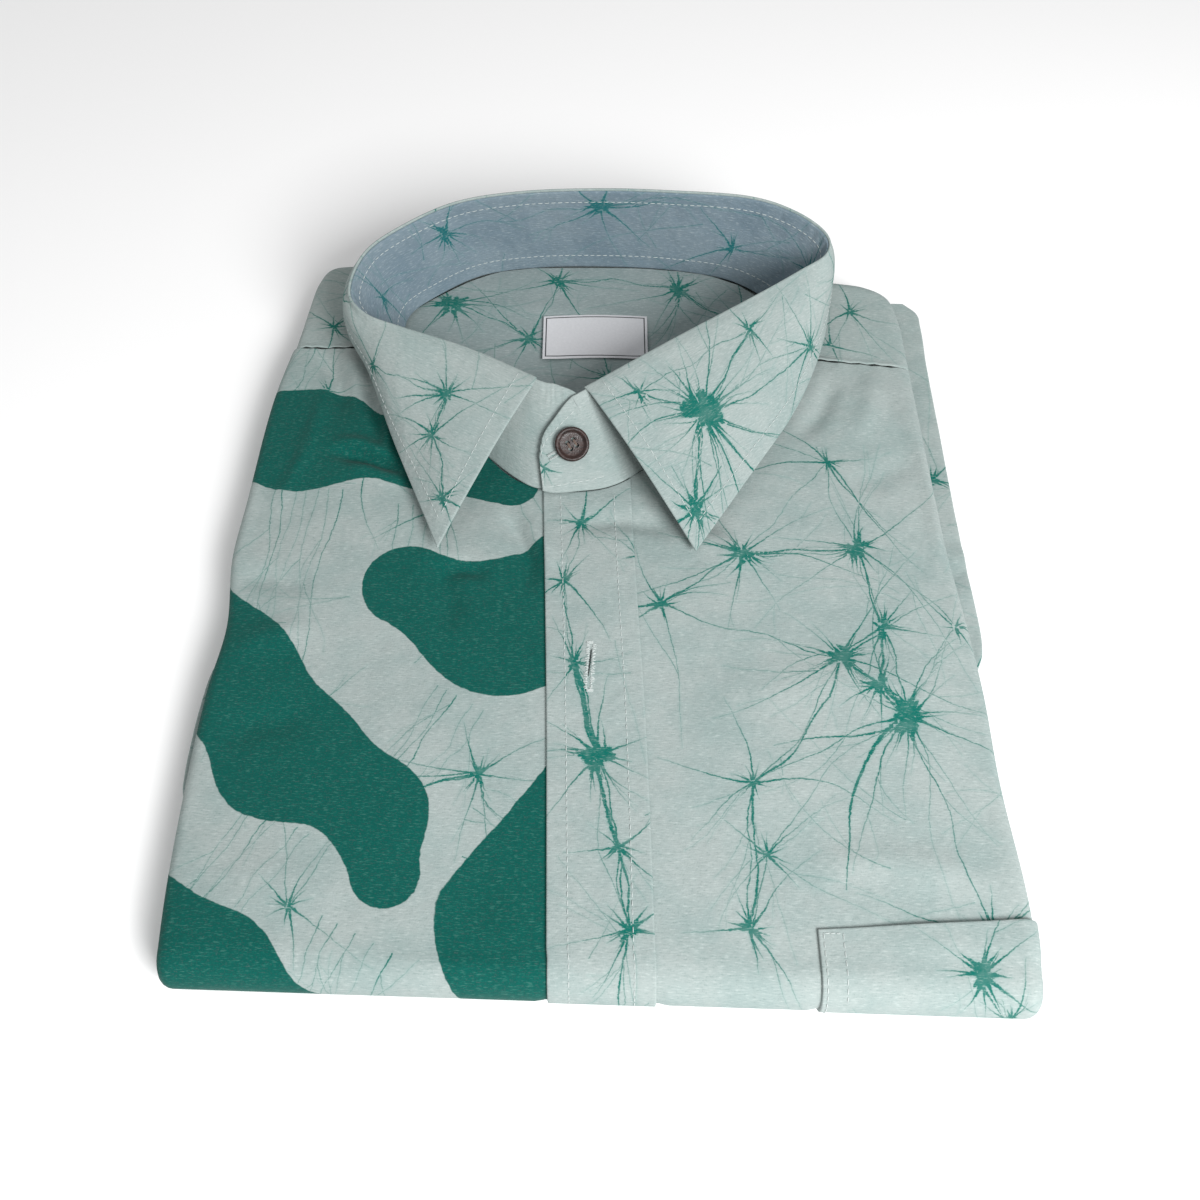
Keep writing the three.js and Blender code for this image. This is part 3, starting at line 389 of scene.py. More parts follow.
def nearest_veins(centres, strokes, cell=12.0, reach=6.0):
    """The NEAREST strokes of each face, as two (x, y, width) ends each."""
    ends = np.tile(np.array([FAR_AWAY, (1e4 + 1, 1e4, 0.0)]), (len(centres), NEAREST, 1, 1))
    if not len(strokes):
        return ends
    a, b = strokes[:, :3], strokes[:, 3:]
    low, high = np.minimum(a[:, :2], b[:, :2]) - reach, np.maximum(a[:, :2], b[:, :2]) + reach
    cells = np.floor(centres / cell).astype(int)
    keys, inverse = np.unique(cells, axis=0, return_inverse=True)
    order = np.argsort(inverse.ravel(), kind="stable")
    starts = np.concatenate([[0], np.cumsum(np.bincount(inverse.ravel(), minlength=len(keys)))])
    for index, key in enumerate(keys):
        faces = order[starts[index]:starts[index + 1]]
        corner0, corner1 = key * cell, (key + 1) * cell
        near = np.flatnonzero(((low < corner1) & (high > corner0)).all(1))
        if not len(near):
            continue
        p = centres[faces][:, None, :]
        a2, b2 = a[near][None, :, :2], b[near][None, :, :2]
        run = b2 - a2
        t = np.clip(((p - a2) * run).sum(-1) / np.maximum((run**2).sum(-1), 1e-6), 0, 1)
        width = a[near][None, :, 2] * (1 - t) + b[near][None, :, 2] * t
        distance = np.linalg.norm(p - a2 - run * t[..., None], axis=-1) - 0.75 * width
        best = np.argsort(distance, axis=1)[:, :NEAREST]
        kept = best.shape[1]
        ends[faces, :kept, 0] = a[near][best]
        ends[faces, :kept, 1] = b[near][best]
    return ends


# Pools of solid dye on the right front: rounded lobes of this cloth, joined softly. x, y, radius at both ends
POOLS = table(
    "x0 y0 r0 x1 y1 r1",
    (-160, 222, 20, -114, 210, 22), (-114, 210, 22, -74, 200, 12), (-74, 200, 12, -34, 190, 9),
    (-4, 150, 24, -36, 124, 24), (-36, 124, 24, -70, 142, 17), (-160, 140, 18, -130, 106, 21),
    (-130, 106, 21, -104, 74, 20), (-104, 74, 20, -74, 58, 15), (-74, 58, 15, -68, 36, 11),
    (-4, 64, 16, -26, 22, 21), (-26, 22, 21, -14, -40, 22), (-160, 14, 26, -118, 2, 20),
    (-118, 0, 17, -80, -30, 15), (-60, -90, 26, -20, -130, 22), (-130, -120, 26, -90, -170, 22),
    (-50, -210, 24, -20, -250, 26), (-120, -240, 24, -140, -290, 22), (-185, 150, 14, -185, 90, 18),
    (-175, -60, 16, -180, -160, 20))


def lobes(columns, x, y, soft):
    """Signed distance to softly joined round cones: negative inside."""
    total = None
    for x0, y0, r0, x1, y1, r1 in zip(*columns.values()):
        run = (x1 - x0, y1 - y0)
        t = np.clip(((x - x0) * run[0] + (y - y0) * run[1]) / (run[0] ** 2 + run[1] ** 2), 0, 1)
        distance = np.hypot(x - x0 - run[0] * t, y - y0 - run[1] * t) - (r0 + (r1 - r0) * smooth(t, 0, 1))
        if total is None:
            total = distance
            continue
        blend = np.clip(0.5 + 0.5 * (total - distance) / soft, 0, 1)
        total = total * (1 - blend) + distance * blend - soft * blend * (1 - blend)
    return total


def pools(cloth):
    x, y = cloth[..., 0], cloth[..., 1]
    wobble = 1.3 * np.sin(x / 15 + 2 * np.sin(y / 21)) + 0.8 * np.sin(y / 11 + x / 21 + 1)
    return lobes(POOLS, x, y, 12.0) + wobble


NO_POOL = 50.0


# ---------------------------------------------------------------- meshes
def placed(name, data):
    obj = bpy.data.objects.new(name, data)
    bpy.context.scene.collection.objects.link(obj)
    return obj


def store(mesh, name, domain, values):
    """Keeps a number, or a vector, for each point or face of a mesh."""
    kind, field = ("FLOAT_VECTOR", "vector") if values.ndim > 1 else ("FLOAT", "value")
    attribute = mesh.attributes.new(name, kind, domain)
    attribute.data.foreach_set(field, np.ascontiguousarray(values, np.float32).ravel())


def store_cloth(mesh, flat):
    store(mesh, "cloth", "POINT", np.column_stack([flat, np.zeros(len(flat))]))


def shell(name, outer, inner, cloth, dye=None, veins=None, materials=(), inner_slot=0):
    """A closed thin shell between two grids of points, with the cloth's flat coordinates and dye on it."""
    rows, columns = outer.shape[:2]
    count = rows * columns
    points = np.concatenate([outer.reshape(-1, 3), inner.reshape(-1, 3)])
    flat = np.concatenate([cloth.reshape(-1, 2)] * 2)
    i, j = np.meshgrid(np.arange(rows - 1), np.arange(columns - 1), indexing="ij")
    a = (i * columns + j).ravel()
    top = np.stack([a, a + 1, a + columns + 1, a + columns], 1)
    edge = np.concatenate([np.arange(columns), np.arange(1, rows) * columns + columns - 1,
                           (rows - 1) * columns + np.arange(columns - 2, -1, -1),
                           np.arange(rows - 2, 0, -1) * columns])
    ahead = np.roll(edge, -1)
    faces = np.concatenate([top, top[:, ::-1] + count, np.stack([ahead, edge, edge + count, ahead + count], 1)])
    # faces turn outwards when the signed volume is positive
    a, b, c, d = (points[faces[:, k]] for k in range(4))
    if (np.cross(b - a, c - a) * a).sum() + (np.cross(c - a, d - a) * a).sum() < 0:
        faces = faces[:, ::-1]
    mesh = bpy.data.meshes.new(name)
    mesh.from_pydata(((points + SHIFT) / 1000).tolist(), [], faces.tolist())
    store_cloth(mesh, flat)
    store(mesh, "pool", "POINT", np.full(len(flat), NO_POOL) if dye is None else dye(flat))
    if veins is not None:
        ends = nearest_veins(flat[faces].mean(1), veins)
        for k in range(NEAREST):
            for e, end in enumerate("ab"):
                store(mesh, f"vein{k}{end}", "FACE", ends[:, k, e])
    for material in materials:
        mesh.materials.append(material)
    slots = np.zeros(len(faces), np.int32)
    slots[len(top):2 * len(top)] = inner_slot
    mesh.polygons.foreach_set("material_index", slots)
    mesh.polygons.foreach_set("use_smooth", np.ones(len(faces), bool))
    mesh.update()
    return placed(name, mesh)


def spread(length, step, rim=(0.0, 0.12, 0.35, 0.8)):
    """Places from 0 to 1 along a length in mm: close together at both rims, and step apart between them."""
    inner = np.linspace(rim[-1], length - rim[-1], max(3, int((length - 2 * rim[-1]) / step) + 1))
    return np.concatenate([rim[:-1], inner, length - np.array(rim[:-1])[::-1]]) / length


def rounding(heights, widths, thickness):
    """For each grid point, the share of the wall's thickness that is left near its rims, from distances in mm."""
    t = np.clip(np.minimum(heights, widths) / (thickness * 0.6), 0, 1)
    return 0.25 + 0.75 * np.sqrt(1 - (1 - t) ** 2)


def thick(middle, thickness, share):
    """Both faces of a wall about a middle surface, thinned to its share of the thickness."""
    normal = unit(np.cross(np.gradient(middle, axis=0), np.gradient(middle, axis=1)))
    half = normal * (thickness / 2 * share)[..., None]
    return middle + half, middle - half


# ---------------------------------------------------------------- materials
def srgb(r, g, b):
    """A colour given as on screen, 0 to 255, as the linear values a shader takes."""
    def linear(c):
        c /= 255
        return c / 12.92 if c <= 0.04045 else ((c + 0.055) / 1.055) ** 2.4
    return (linear(r), linear(g), linear(b), 1.0)


class Graph:
    """A node tree built by short calls; each returns an output socket."""

    def __init__(self, name):
        self.material = bpy.data.materials.new(name)
        self.material.use_nodes = True
        self.tree = self.material.node_tree
        self.bsdf = self.tree.nodes["Principled BSDF"]

    def node(self, kind, inputs=(), output=0, **settings):
        made = self.tree.nodes.new(kind)
        for key, value in settings.items():
            setattr(made, key, value)
        for key, value in dict(inputs).items():
            self.put(made.inputs[key], value)
        return made.outputs[output]

    def put(self, socket, value):
        if isinstance(value, bpy.types.NodeSocket):
            self.tree.links.new(value, socket)
        else:
            socket.default_value = value

    def math(self, operation, a, b=0.0, c=0.0, clamp=False):
        return self.node("ShaderNodeMath", {0: a, 1: b, 2: c}, operation=operation, use_clamp=clamp)

    def vector(self, operation, a, b=(0, 0, 0), output=0, scale=None):
        inputs = {0: a, 1: b} if scale is None else {0: a, "Scale": scale}
        return self.node("ShaderNodeVectorMath", inputs, output, operation=operation)

    def attribute(self, name, output="Vector"):
        return self.node("ShaderNodeAttribute", output=output, attribute_name=name)

    def noise(self, place, scale, detail=2.0, rough=0.5, output="Fac"):
        return self.node("ShaderNodeTexNoise",
                         {"Vector": place, "Scale": scale, "Detail": detail, "Roughness": rough}, output)

    def ramp(self, value, low, high, to_low=0.0, to_high=1.0):
        ends = {"Value": value, "From Min": low, "From Max": high, "To Min": to_low, "To Max": to_high}
        return self.node("ShaderNodeMapRange", ends, interpolation_type="SMOOTHSTEP")

    def mix(self, share, a, b):
        return self.node("ShaderNodeMix", {0: share, 6: a, 7: b}, 2, data_type="RGBA")

    def stretched(self, place, x, y, z=1):
        return self.vector("MULTIPLY", place, (x, y, z))

    def part(self, vector, axis):
        return self.node("ShaderNodeSeparateXYZ", {0: vector}, axis)

    def surface(self, colour, height, distance, strength, **sockets):
        """Sets the shader's colour, its bump and its plain numbers, such as Sheen_Weight."""
        self.put(self.bsdf.inputs["Base Color"], colour)
        bump = {"Height": height, "Distance": distance, "Strength": strength}
        self.put(self.bsdf.inputs["Normal"], self.node("ShaderNodeBump", bump))
        for name, value in sockets.items():
            self.put(self.bsdf.inputs[name.replace("_", " ")], value)
        return self.material


def vein_distance(g, place, k):
    """Distance in mm from a place on the cloth to the edge of one stored vein, on a rounded cone."""
    a, b = g.attribute(f"vein{k}a"), g.attribute(f"vein{k}b")
    run = g.vector("SUBTRACT", b, a)
    flat_run = g.vector("MULTIPLY", run, (1, 1, 0))
    from_a = g.vector("MULTIPLY", g.vector("SUBTRACT", place, a), (1, 1, 0))
    t = g.math("DIVIDE", g.vector("DOT_PRODUCT", from_a, flat_run, "Value"),
               g.vector("DOT_PRODUCT", flat_run, flat_run, "Value"), clamp=True)
    off = g.vector("SUBTRACT", from_a, g.vector("SCALE", flat_run, scale=t))
    width = g.math("MULTIPLY_ADD", g.part(run, 2), t, g.part(a, 2))
    return g.math("SUBTRACT", g.vector("LENGTH", off, output="Value"), g.math("MULTIPLY", width, 0.5)), width


MINT = srgb(149, 159, 157)
MINT_DEEP = srgb(136, 151, 149)
VEIN = srgb(0, 94, 84)
VEIN_HALO = srgb(58, 130, 121)
POOL = srgb(0, 86, 76)
POOL_DEEP = srgb(0, 70, 64)
SLUB_LIGHT, SLUB_DARK = srgb(212, 220, 217), srgb(84, 108, 104)


def batik(name, pale=MINT, deep=MINT_DEEP, with_pools=False, vein=VEIN, bump=0.32):
    """Dyed slubby cotton: pale ground, horizontal slubs, crackle veins, and pools where the cloth has them."""
    g = Graph(name)
    place = g.attribute("cloth")
    bent = g.vector("ADD", place, g.vector("SUBTRACT", g.noise(place, 0.42, 3.0, 0.6, "Color"), (0.5, 0.5, 0.5)))
    slub = g.noise(g.stretched(place, 0.4, 1.9), 1.0, 3.0, 0.62)
    thread = g.noise(g.stretched(place, 1.9, 1.5), 1.0, 2.0, 0.6)
    grain = g.math("ADD", g.math("MULTIPLY", slub, 0.65), g.math("MULTIPLY", thread, 0.35))
    rough_edge = g.math("SUBTRACT", g.noise(g.stretched(place, 0.9, 1.3), 1.0, 3.0, 0.7), 0.5)
    core = halo = 0.0
    for k in range(NEAREST):
        distance, width = vein_distance(g, bent, k)
        frayed = g.math("MULTIPLY", rough_edge, g.math("ADD", width, 0.25))
        ragged = g.math("MULTIPLY_ADD", frayed, 0.9, distance)
        # thin veins are pale as well as narrow
        inside = g.math("MULTIPLY", g.ramp(ragged, 0.16, -0.14), g.ramp(width, 0.0, 0.5, 0.3, 1.0))
        around = g.math("MULTIPLY", g.ramp(ragged, 1.1, 0.0), g.ramp(width, 0.2, 2.0, 0.08, 0.4))
        core, halo = g.math("MAXIMUM", core, inside), g.math("MAXIMUM", halo, around)
    core = g.math("MULTIPLY", core, g.ramp(g.noise(place, 0.16, 3.0, 0.6), 0.3, 0.6, 0.76, 1.0))
    ground = g.mix(g.ramp(g.noise(place, 0.035, 4.0, 0.6), 0.35, 0.68), pale, deep)
    colour = g.mix(core, g.mix(halo, ground, VEIN_HALO), vein)
    light_slub = g.ramp(slub, 0.52, 0.72, 0.0, 0.2)
    if with_pools:
        uneven = g.math("SUBTRACT", g.noise(place, 0.35, 2.0, 0.5), 0.5)
        pool = g.ramp(g.math("ADD", g.attribute("pool", "Fac"), g.math("MULTIPLY", uneven, 0.9)), 0.22, -0.22)
        colour = g.mix(pool, colour, g.mix(g.ramp(grain, 0.38, 0.66), POOL_DEEP, POOL))
        light_slub = g.math("MULTIPLY", light_slub, g.math("MULTIPLY_ADD", pool, -0.72, 1.0))
    # slubs: fine dashes lighter and darker than the ground
    colour = g.mix(light_slub, colour, SLUB_LIGHT)
    colour = g.mix(g.ramp(grain, 0.49, 0.32, 0.0, 0.34), colour, SLUB_DARK)
    crumple = g.noise(place, 0.085, 4.0, 0.5)
    height = g.math("ADD", g.math("MULTIPLY", thread, 0.22),
                    g.math("ADD", g.math("MULTIPLY", slub, 0.3), g.math("MULTIPLY", crumple, 2.6)))
    return g.surface(colour, height, 0.001, bump, Roughness=0.88, Specular_IOR_Level=0.12, Sheen_Weight=0.05,
                     Sheen_Roughness=0.5)


cotton = batik("batik_cotton")
dyed = batik("pool_cotton", with_pools=True)
# Inside of the stand: the reverse side's bluish tone, made darker with painted shade of the collar's inside
lining_and_shade = batik("stand_lining", srgb(116, 131, 140), srgb(103, 120, 131), vein=srgb(18, 92, 96), bump=0.5)
floor_cloth = batik("yoke_lining", srgb(136, 147, 147), srgb(126, 140, 140))


def declare(obj, nodes):
    """Rides one panel on the root body, and hides the imported parts that it stands for."""
    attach(obj, "root")
    if nodes:
        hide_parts(*nodes)


def panel(name, place, cloth, row_mm, column_mm, thickness=SHEET, **looks):
    """A panel whose place(depth) gives its grid at a depth; row_mm and column_mm are each grid line's distance
    from the nearer rim."""
    inset = thickness / 2 * (1 - rounding(row_mm[:, None], column_mm[None, :], thickness))
    return shell(name, place(inset), place(thickness - inset), cloth, **looks)


def to_rim(values):
    """Distance of each of the values, which start at 0, from the nearer end."""
    return np.minimum(values, values[-1] - values)


def running(points):
    """Length along a line of points, up to each."""
    return np.concatenate([[0], np.cumsum(np.linalg.norm(np.diff(points, axis=0), axis=1))])


ABOVE_STEP, ROUND_STEP, UNDER_STEP = 1.7, 1.6, 4.0


def rows_of(length_above):
    """Distances down a panel from its top edge: fine above and round the bottom fold, coarser below."""
    above = length_above * spread(length_above, ABOVE_STEP)
    above = above[above < length_above - 1.0]
    turn = length_above + np.linspace(0, HALF_TURN, int(HALF_TURN / ROUND_STEP))
    under = length_above + HALF_TURN + UNDER_LENGTH * spread(UNDER_LENGTH, UNDER_STEP)[4:]
    return np.concatenate([above, turn, under])


def above_fold(y, x):
    """Distance from a top edge down to the start of the bottom fold."""
    return float(y - TURN - fold_y(x))


def seam_pucker(distance, along_seam, amount=0.22, reach=3.2, wave=7.0):
    """Small puckers beside a line of stitches."""
    ripple = np.sin(along_seam * 6.283 / wave + 1.4 * np.sin(along_seam / 11)) + 0.4 * np.sin(along_seam * 2.3)
    return amount * ripple * np.exp(-((distance / reach) ** 2))


FAR_UP = -150.0  # a place well up a front


def front(name, side, inner_x, material, node, dye, veins):
    """One front, from its inner edge to its flap behind the side fold."""
    above = above_fold(top_edge(side * PAST_SIDE), side * 100.0)
    down = rows_of(above)
    s_of = (down - above)[:, None]  # 0 at the start of the bottom fold for the middle of the panel
    width = abs(side_x(side, FAR_UP) - side * SIDE_RADIUS - inner_x(np.array(FAR_UP)))
    flat_mm = width * spread(width, 1.6)
    across = np.concatenate([flat_mm[flat_mm < width - 0.9], width + np.linspace(0, SIDE_TURN, 11),
                             width + SIDE_TURN + FLAP * spread(FLAP, 4.0)[4:]])
    k = np.clip(across / width, 0, 1)[None, :]
    over = np.maximum(across - width, 0)[None, :]
    # each column starts at its own top edge, and eases to the common rows lower down
    s = np.repeat(s_of, len(across), 1)
    for _ in range(3):
        x = inner_x(s) + (side_x(side, s) - side * SIDE_RADIUS - inner_x(s)) * k
        edge = np.where(over > 0, side * PAST_SIDE, x[:1])
        s = np.where(s_of < 0, s_at(x[:1], top_edge(edge)) * np.clip(-s_of / above, 0, 1), s_of)
    from_seam = np.abs(y_of(s, x) - top_edge(edge))
    pucker = np.where(np.abs(x) > 66, seam_pucker(from_seam, x, 0.2), 0) * (s < -20)
    sink = sunk(x, s, side) - pucker
    cloth = np.stack([x + side * over, s_at(0, s)], -1)
    obj = panel(name, lambda inset: on_panel(side, x, over, s, sink + inset), cloth, to_rim(down), to_rim(across),
                dye=dye, veins=veins, materials=(material,))
    declare(obj, [node])


# Star bursts of each panel in its own flat millimetres: x, y, size, rays, reach
FRONT_LEFT_STARS = (
    (88, 205, 1.4, 9, 46), (52, 160, 3.4, 13, 60), (95, 165, 3.2, 13, 58), (84, 118, 3.6, 13, 62),
    (104, 96, 5.2, 17, 74), (96, 107, 3.0, 9, 30), (100, 131, 2.4, 9, 40), (53, 46, 1.2, 7, 34),
    (46, 22, 1.8, 9, 34), (22, 138, 2.0, 9, 50), (50, 70, 1.2, 8, 40), (120, 22, 2.4, 10, 34),
    (112, -12, 2.0, 8, 40), (24, 236, 1.0, 7, 40), (126, 132, 1.0, 6, 30), (60, -60, 3.0, 12, 60),
    (100, -120, 3.4, 12, 60), (40, -180, 3.0, 12, 60), (110, -240, 3.2, 12, 70))
FRONT_LEFT_LINKS = (
    (0, 2, 0.5), (1, 2, 1.0), (1, 9, 0.9), (2, 6, 0.9), (6, 5, 1.4), (3, 5, 1.6), (5, 4, 2.0), (4, 7, 0.4),
    (3, 10, 1.0), (10, 8, 1.2), (7, 8, 0.6), (4, 11, 0.6), (9, 3, 0.6), (0, 1, 0.4), (4, 14, 0.4), (2, 14, 0.5),
    (13, 0, 0.4), (11, 12, 0.5), (15, 16, 0.5), (16, 18, 0.5), (15, 17, 0.5), (6, 4, 0.8))
FRONT_RIGHT_STARS = (
    (-40, 70, 2.0, 9, 40), (-72, 62, 1.6, 9, 34), (-88, 200, 1.4, 8, 44), (-110, 236, 1.2, 8, 40),
    (-60, 178, 1.0, 6, 34), (-100, 88, 1.6, 8, 36), (-96, 24, 1.2, 7, 30), (-26, 22, 1.4, 8, 26),
    (-80, -40, 2.6, 10, 50), (-30, -100, 2.6, 10, 50), (-110, -160, 2.6, 10, 50))
FRONT_RIGHT_LINKS = ((0, 1, 1.3), (1, 5, 0.7), (2, 3, 0.5), (2, 4, 0.5), (5, 6, 0.4), (0, 7, 0.5), (1, 6, 0.4))
# Fine strands across the pale channels: x0, y0, x1, y1, how wide the bundle, how many
FRONT_RIGHT_COMBS = (
    (-112, 186, -118, 88, 26, 7), (-64, 178, -66, 132, 22, 5), (-48, 98, -66, 66, 18, 5),
    (-104, 54, -126, 16, 24, 6), (-46, 36, -30, 30, 16, 4), (-24, 186, -14, 158, 14, 4),
    (-74, 16, -92, -22, 24, 5), (-130, 230, -122, 262, 20, 4), (-40, 60, -24, 50, 12, 4))
PLACKET_STARS = (
    (-7, 173, 2.0, 9, 26), (-13, 146, 1.6, 8, 26), (-9, 112, 2.0, 8, 30), (-1, 78, 4.4, 12, 34),
    (6, 46, 1.6, 7, 28), (9, 20, 2.2, 9, 26), (14, 158, 1.0, 6, 20), (0, -40, 2.4, 9, 30),
    (4, -130, 2.4, 9, 30), (-4, -220, 2.4, 9, 30))
PLACKET_LINKS = ((0, 1, 0.5), (1, 2, 0.8), (2, 3, 2.4), (3, 4, 1.7), (4, 5, 1.3), (0, 6, 0.4), (5, 7, 0.8),
                 (3, 5, 0.8), (7, 8, 0.5), (8, 9, 0.5))
POCKET_STARS = ((114, 10, 3.0, 11, 30), (124, -6, 2.4, 9, 26), (86, -30, 2.0, 9, 30), (110, -70, 2.6, 10, 36))
POCKET_LINKS = ((0, 1, 0.8), (1, 2, 0.5), (2, 3, 0.5))
YOKE_STARS = ((-112, 276, 1.4, 8, 34), (106, 284, 1.6, 8, 36), (96, 264, 1.2, 8, 34), (-96, 300, 1.4, 7, 30),
              (20, 318, 1.4, 7, 30), (-30, 318, 1.2, 7, 30))
YOKE_LINKS = ((1, 2, 0.4), (0, 3, 0.4))
FLOOR_STARS = ((-64, 292, 4.2, 12, 40), (-18, 305, 2.6, 11, 44), (-30, 272, 2.6, 11, 44), (34, 300, 3.2, 12, 44),
               (60, 280, 2.6, 10, 40), (4, 250, 1.8, 9, 36), (-8, 226, 1.4, 8, 34))
FLOOR_LINKS = ((0, 2, 0.8), (1, 2, 0.6), (1, 3, 0.7), (3, 4, 0.8), (2, 5, 0.5), (5, 6, 0.4))
SLEEVE_STARS = ((6, 74, 2.0, 10, 30), (4, 140, 3.0, 12, 30), (8, 158, 2.2, 10, 26), (4, 232, 2.0, 9, 30),
                (30, 110, 2.4, 9, 40), (30, 200, 2.4, 9, 40))
SLEEVE_LINKS = ((1, 2, 1.6), (0, 4, 0.6), (3, 5, 0.6))


front("right_front_panel", -1, lambda s: placket_edge("right", s) - SEAM_LAP - GAP, dyed,
      "front_right", pools,
      grow_veins(FRONT_RIGHT_STARS, FRONT_RIGHT_LINKS, 11, (-180, -280, 10, 262, 40), FRONT_RIGHT_COMBS))
front("left_front_panel", 1, lambda s: placket_edge("right", s) - SEAM_LAP, cotton,
      "front_left", None,
      grow_veins(FRONT_LEFT_STARS, FRONT_LEFT_LINKS, 23, (14, -280, 180, 252, 40)))

PLACKET_WIDTH = 33.4
PLACKET_SHORT = 1.7  # its top edge ends this far below the neckline
PLACKET_MIDDLE = -4.0
PLACKET_STITCH = 6.6
DOUBLE = 2.0  # thickness of the placket and the pocket next to a single layer


def placket_panel():
    above = above_fold(top_edge(PLACKET_MIDDLE) - PLACKET_SHORT, 0.0)
    down = rows_of(above)
    s_of = (down - above)[:, None]
    across = PLACKET_WIDTH * spread(PLACKET_WIDTH, 1.2)
    s = np.repeat(s_of, len(across), 1)
    for _ in range(3):
        left, right = placket_edge("left", s), placket_edge("right", s)
        x = left + (right - left) * (across / PLACKET_WIDTH)[None, :]
        top_s = s_at(x[:1], top_edge(x[:1]) - PLACKET_SHORT)
        s = np.where(s_of < 0, top_s * np.clip(-s_of / above, 0, 1), s_of)
    y = y_of(s, x)
    pucker = (seam_pucker(across[None] - PLACKET_STITCH, y, 0.1, 2.4, 5.5)
              + seam_pucker(PLACKET_WIDTH - PLACKET_STITCH - across[None], y + 9, 0.1, 2.4, 6.3)) * (s < 0)
    rise = LIFT * (1 - smooth(s, 0, HALF_TURN)) + pucker
    cloth = np.stack([x, s_at(0, s)], -1)
    obj = panel("placket_panel", lambda inset: in_stack(x, s, inset * DOUBLE - rise), cloth, to_rim(down),
                to_rim(across), materials=(cotton,),
                veins=grow_veins(PLACKET_STARS, PLACKET_LINKS, 5, (-20, -280, 16, 186, 16)))
    declare(obj, ["placket"])


def pocket_panel():
    """The pocket runs over the front from its gaping mouth, round the bottom fold and the side fold."""
    above = float(np.mean(POCKET_MOUTH) - TURN)
    down = np.concatenate([above * spread(above, 1.4)[:-3], above + np.linspace(0, HALF_TURN, 20),
                           above + HALF_TURN + POCKET_UNDER * spread(POCKET_UNDER, 3.5)[4:]])
    s_of = (down - above)[:, None]
    width = side_x(1, 0.0) - SIDE_RADIUS - POCKET_LEFT
    flap = FLAP - 2
    across = np.concatenate([width * spread(width, 1.5)[:-3], width + np.linspace(0, SIDE_TURN, 10),
                             width + SIDE_TURN + flap * spread(flap, 4.0)[4:]])
    k = np.clip(across / width, 0, 1)[None, :]
    over = np.maximum(across - width, 0)[None, :]
    mouth = POCKET_MOUTH[0] + (POCKET_MOUTH[1] - POCKET_MOUTH[0]) * k
    s = np.where(s_of < 0, s_at(POCKET_LEFT + width * k, mouth) * (-s_of / above), s_of)
    x = POCKET_LEFT + (side_x(1, s) - SIDE_RADIUS - POCKET_LEFT) * k
    gape = POCKET_GAPE * smooth(-s, 1, 9) * smooth(x - POCKET_LEFT, 8, 52) * (0.8 + 0.3 * np.sin(x / 11))
    rise = LIFT * (1 - smooth(s, 0, HALF_TURN)) + gape * (1 - smooth(over, 0, SIDE_TURN * 0.6))
    cloth = np.stack([x + over, s_at(0, s)], -1)
    obj = panel("breast_pocket", lambda inset: on_panel(1, x, over, s, inset * DOUBLE - rise), cloth, to_rim(down),
                to_rim(across), materials=(cotton,),
                veins=grow_veins(POCKET_STARS, POCKET_LINKS, 9, (66, -100, 180, 22, 10)))
    declare(obj, ["pocket"])


YOKE_ROWS = 250
YOKE_ROW_MM = 22.0  # about how far apart the table's rows lie
YOKE_TURN, YOKE_TUCK = 9, 5  # grid lines round its fold and on the tucked side


def yoke_panel():
    last = len(YOKE["nx"]) - 1
    at = np.linspace(0, last, YOKE_ROWS)[:, None]
    neck, rim = np.split(row_at(YOKE, at[:, 0], "nx ny ox oy"), 2, axis=-1)
    run = unit(row_at(YOKE, np.minimum(at[:, 0] + 0.25, last), "ox oy")
               - row_at(YOKE, np.maximum(at[:, 0] - 0.25, 0), "ox oy"))
    # the fold's outward direction, eased to straight across at the seams
    normal = np.stack([-run[:, 1], run[:, 0]], -1)
    ends = smooth(at, 0, 0.6) * (1 - smooth(at, last - 0.6, last))
    normal = unit(normal * ends + np.where(at < last / 2, -1.0, 1.0) * np.array([[1.0, 0.0]]) * (1 - ends))
    centre = rim - normal * SIDE_RADIUS
    share = np.concatenate([spread(30, 1.6)[:-3], np.ones(YOKE_TURN + YOKE_TUCK)])
    flat = len(share) - YOKE_TURN - YOKE_TUCK
    spot = neck[:, None] + (centre - neck)[:, None] * share[None, :, None]
    angle = np.concatenate([np.zeros(flat), np.linspace(0, math.pi, YOKE_TURN + 1)[1:],
                            np.full(YOKE_TUCK, math.pi)])
    deep = np.concatenate([np.zeros(flat + YOKE_TURN), np.linspace(0, 1, YOKE_TUCK + 1)[1:]])
    width_mm = np.linalg.norm(centre - neck, axis=1)[:, None]
    reach = np.minimum(17.0, 6 + width_mm) * deep[None]
    outward = normal[:, None]
    from_seams = (at * YOKE_ROW_MM + 0 * angle, (last - at) * YOKE_ROW_MM + 0 * angle)
    raised = sum(seam_pucker(mm, spot[..., 0], 0.38, 3.4, 6.5) + 0.75 * np.exp(-((mm / 3.0) ** 2))
                 for mm in from_seams) * (angle == 0)[None]

    def place(inset):
        depth = inset - raised
        radius = SIDE_RADIUS - depth
        x, y = np.moveaxis(spot + outward * (radius * np.sin(angle) - reach)[..., None], -1, 0)
        return in_stack(x, s_at(x, y), np.where(angle == 0, depth, SIDE_RADIUS - radius * np.cos(angle)))

    along_mm = running(rim)
    rim_columns = np.minimum(share * 30, 9)
    rim_columns[-1] = 0
    beyond = SIDE_RADIUS * angle[None] + reach
    obj = panel("yoke_panel", place, spot + outward * beyond[..., None], to_rim(along_mm), rim_columns,
                materials=(cotton,), veins=grow_veins(YOKE_STARS, YOKE_LINKS, 31, (-150, 250, 150, 340, 26)))
    declare(obj, ["yoke"])


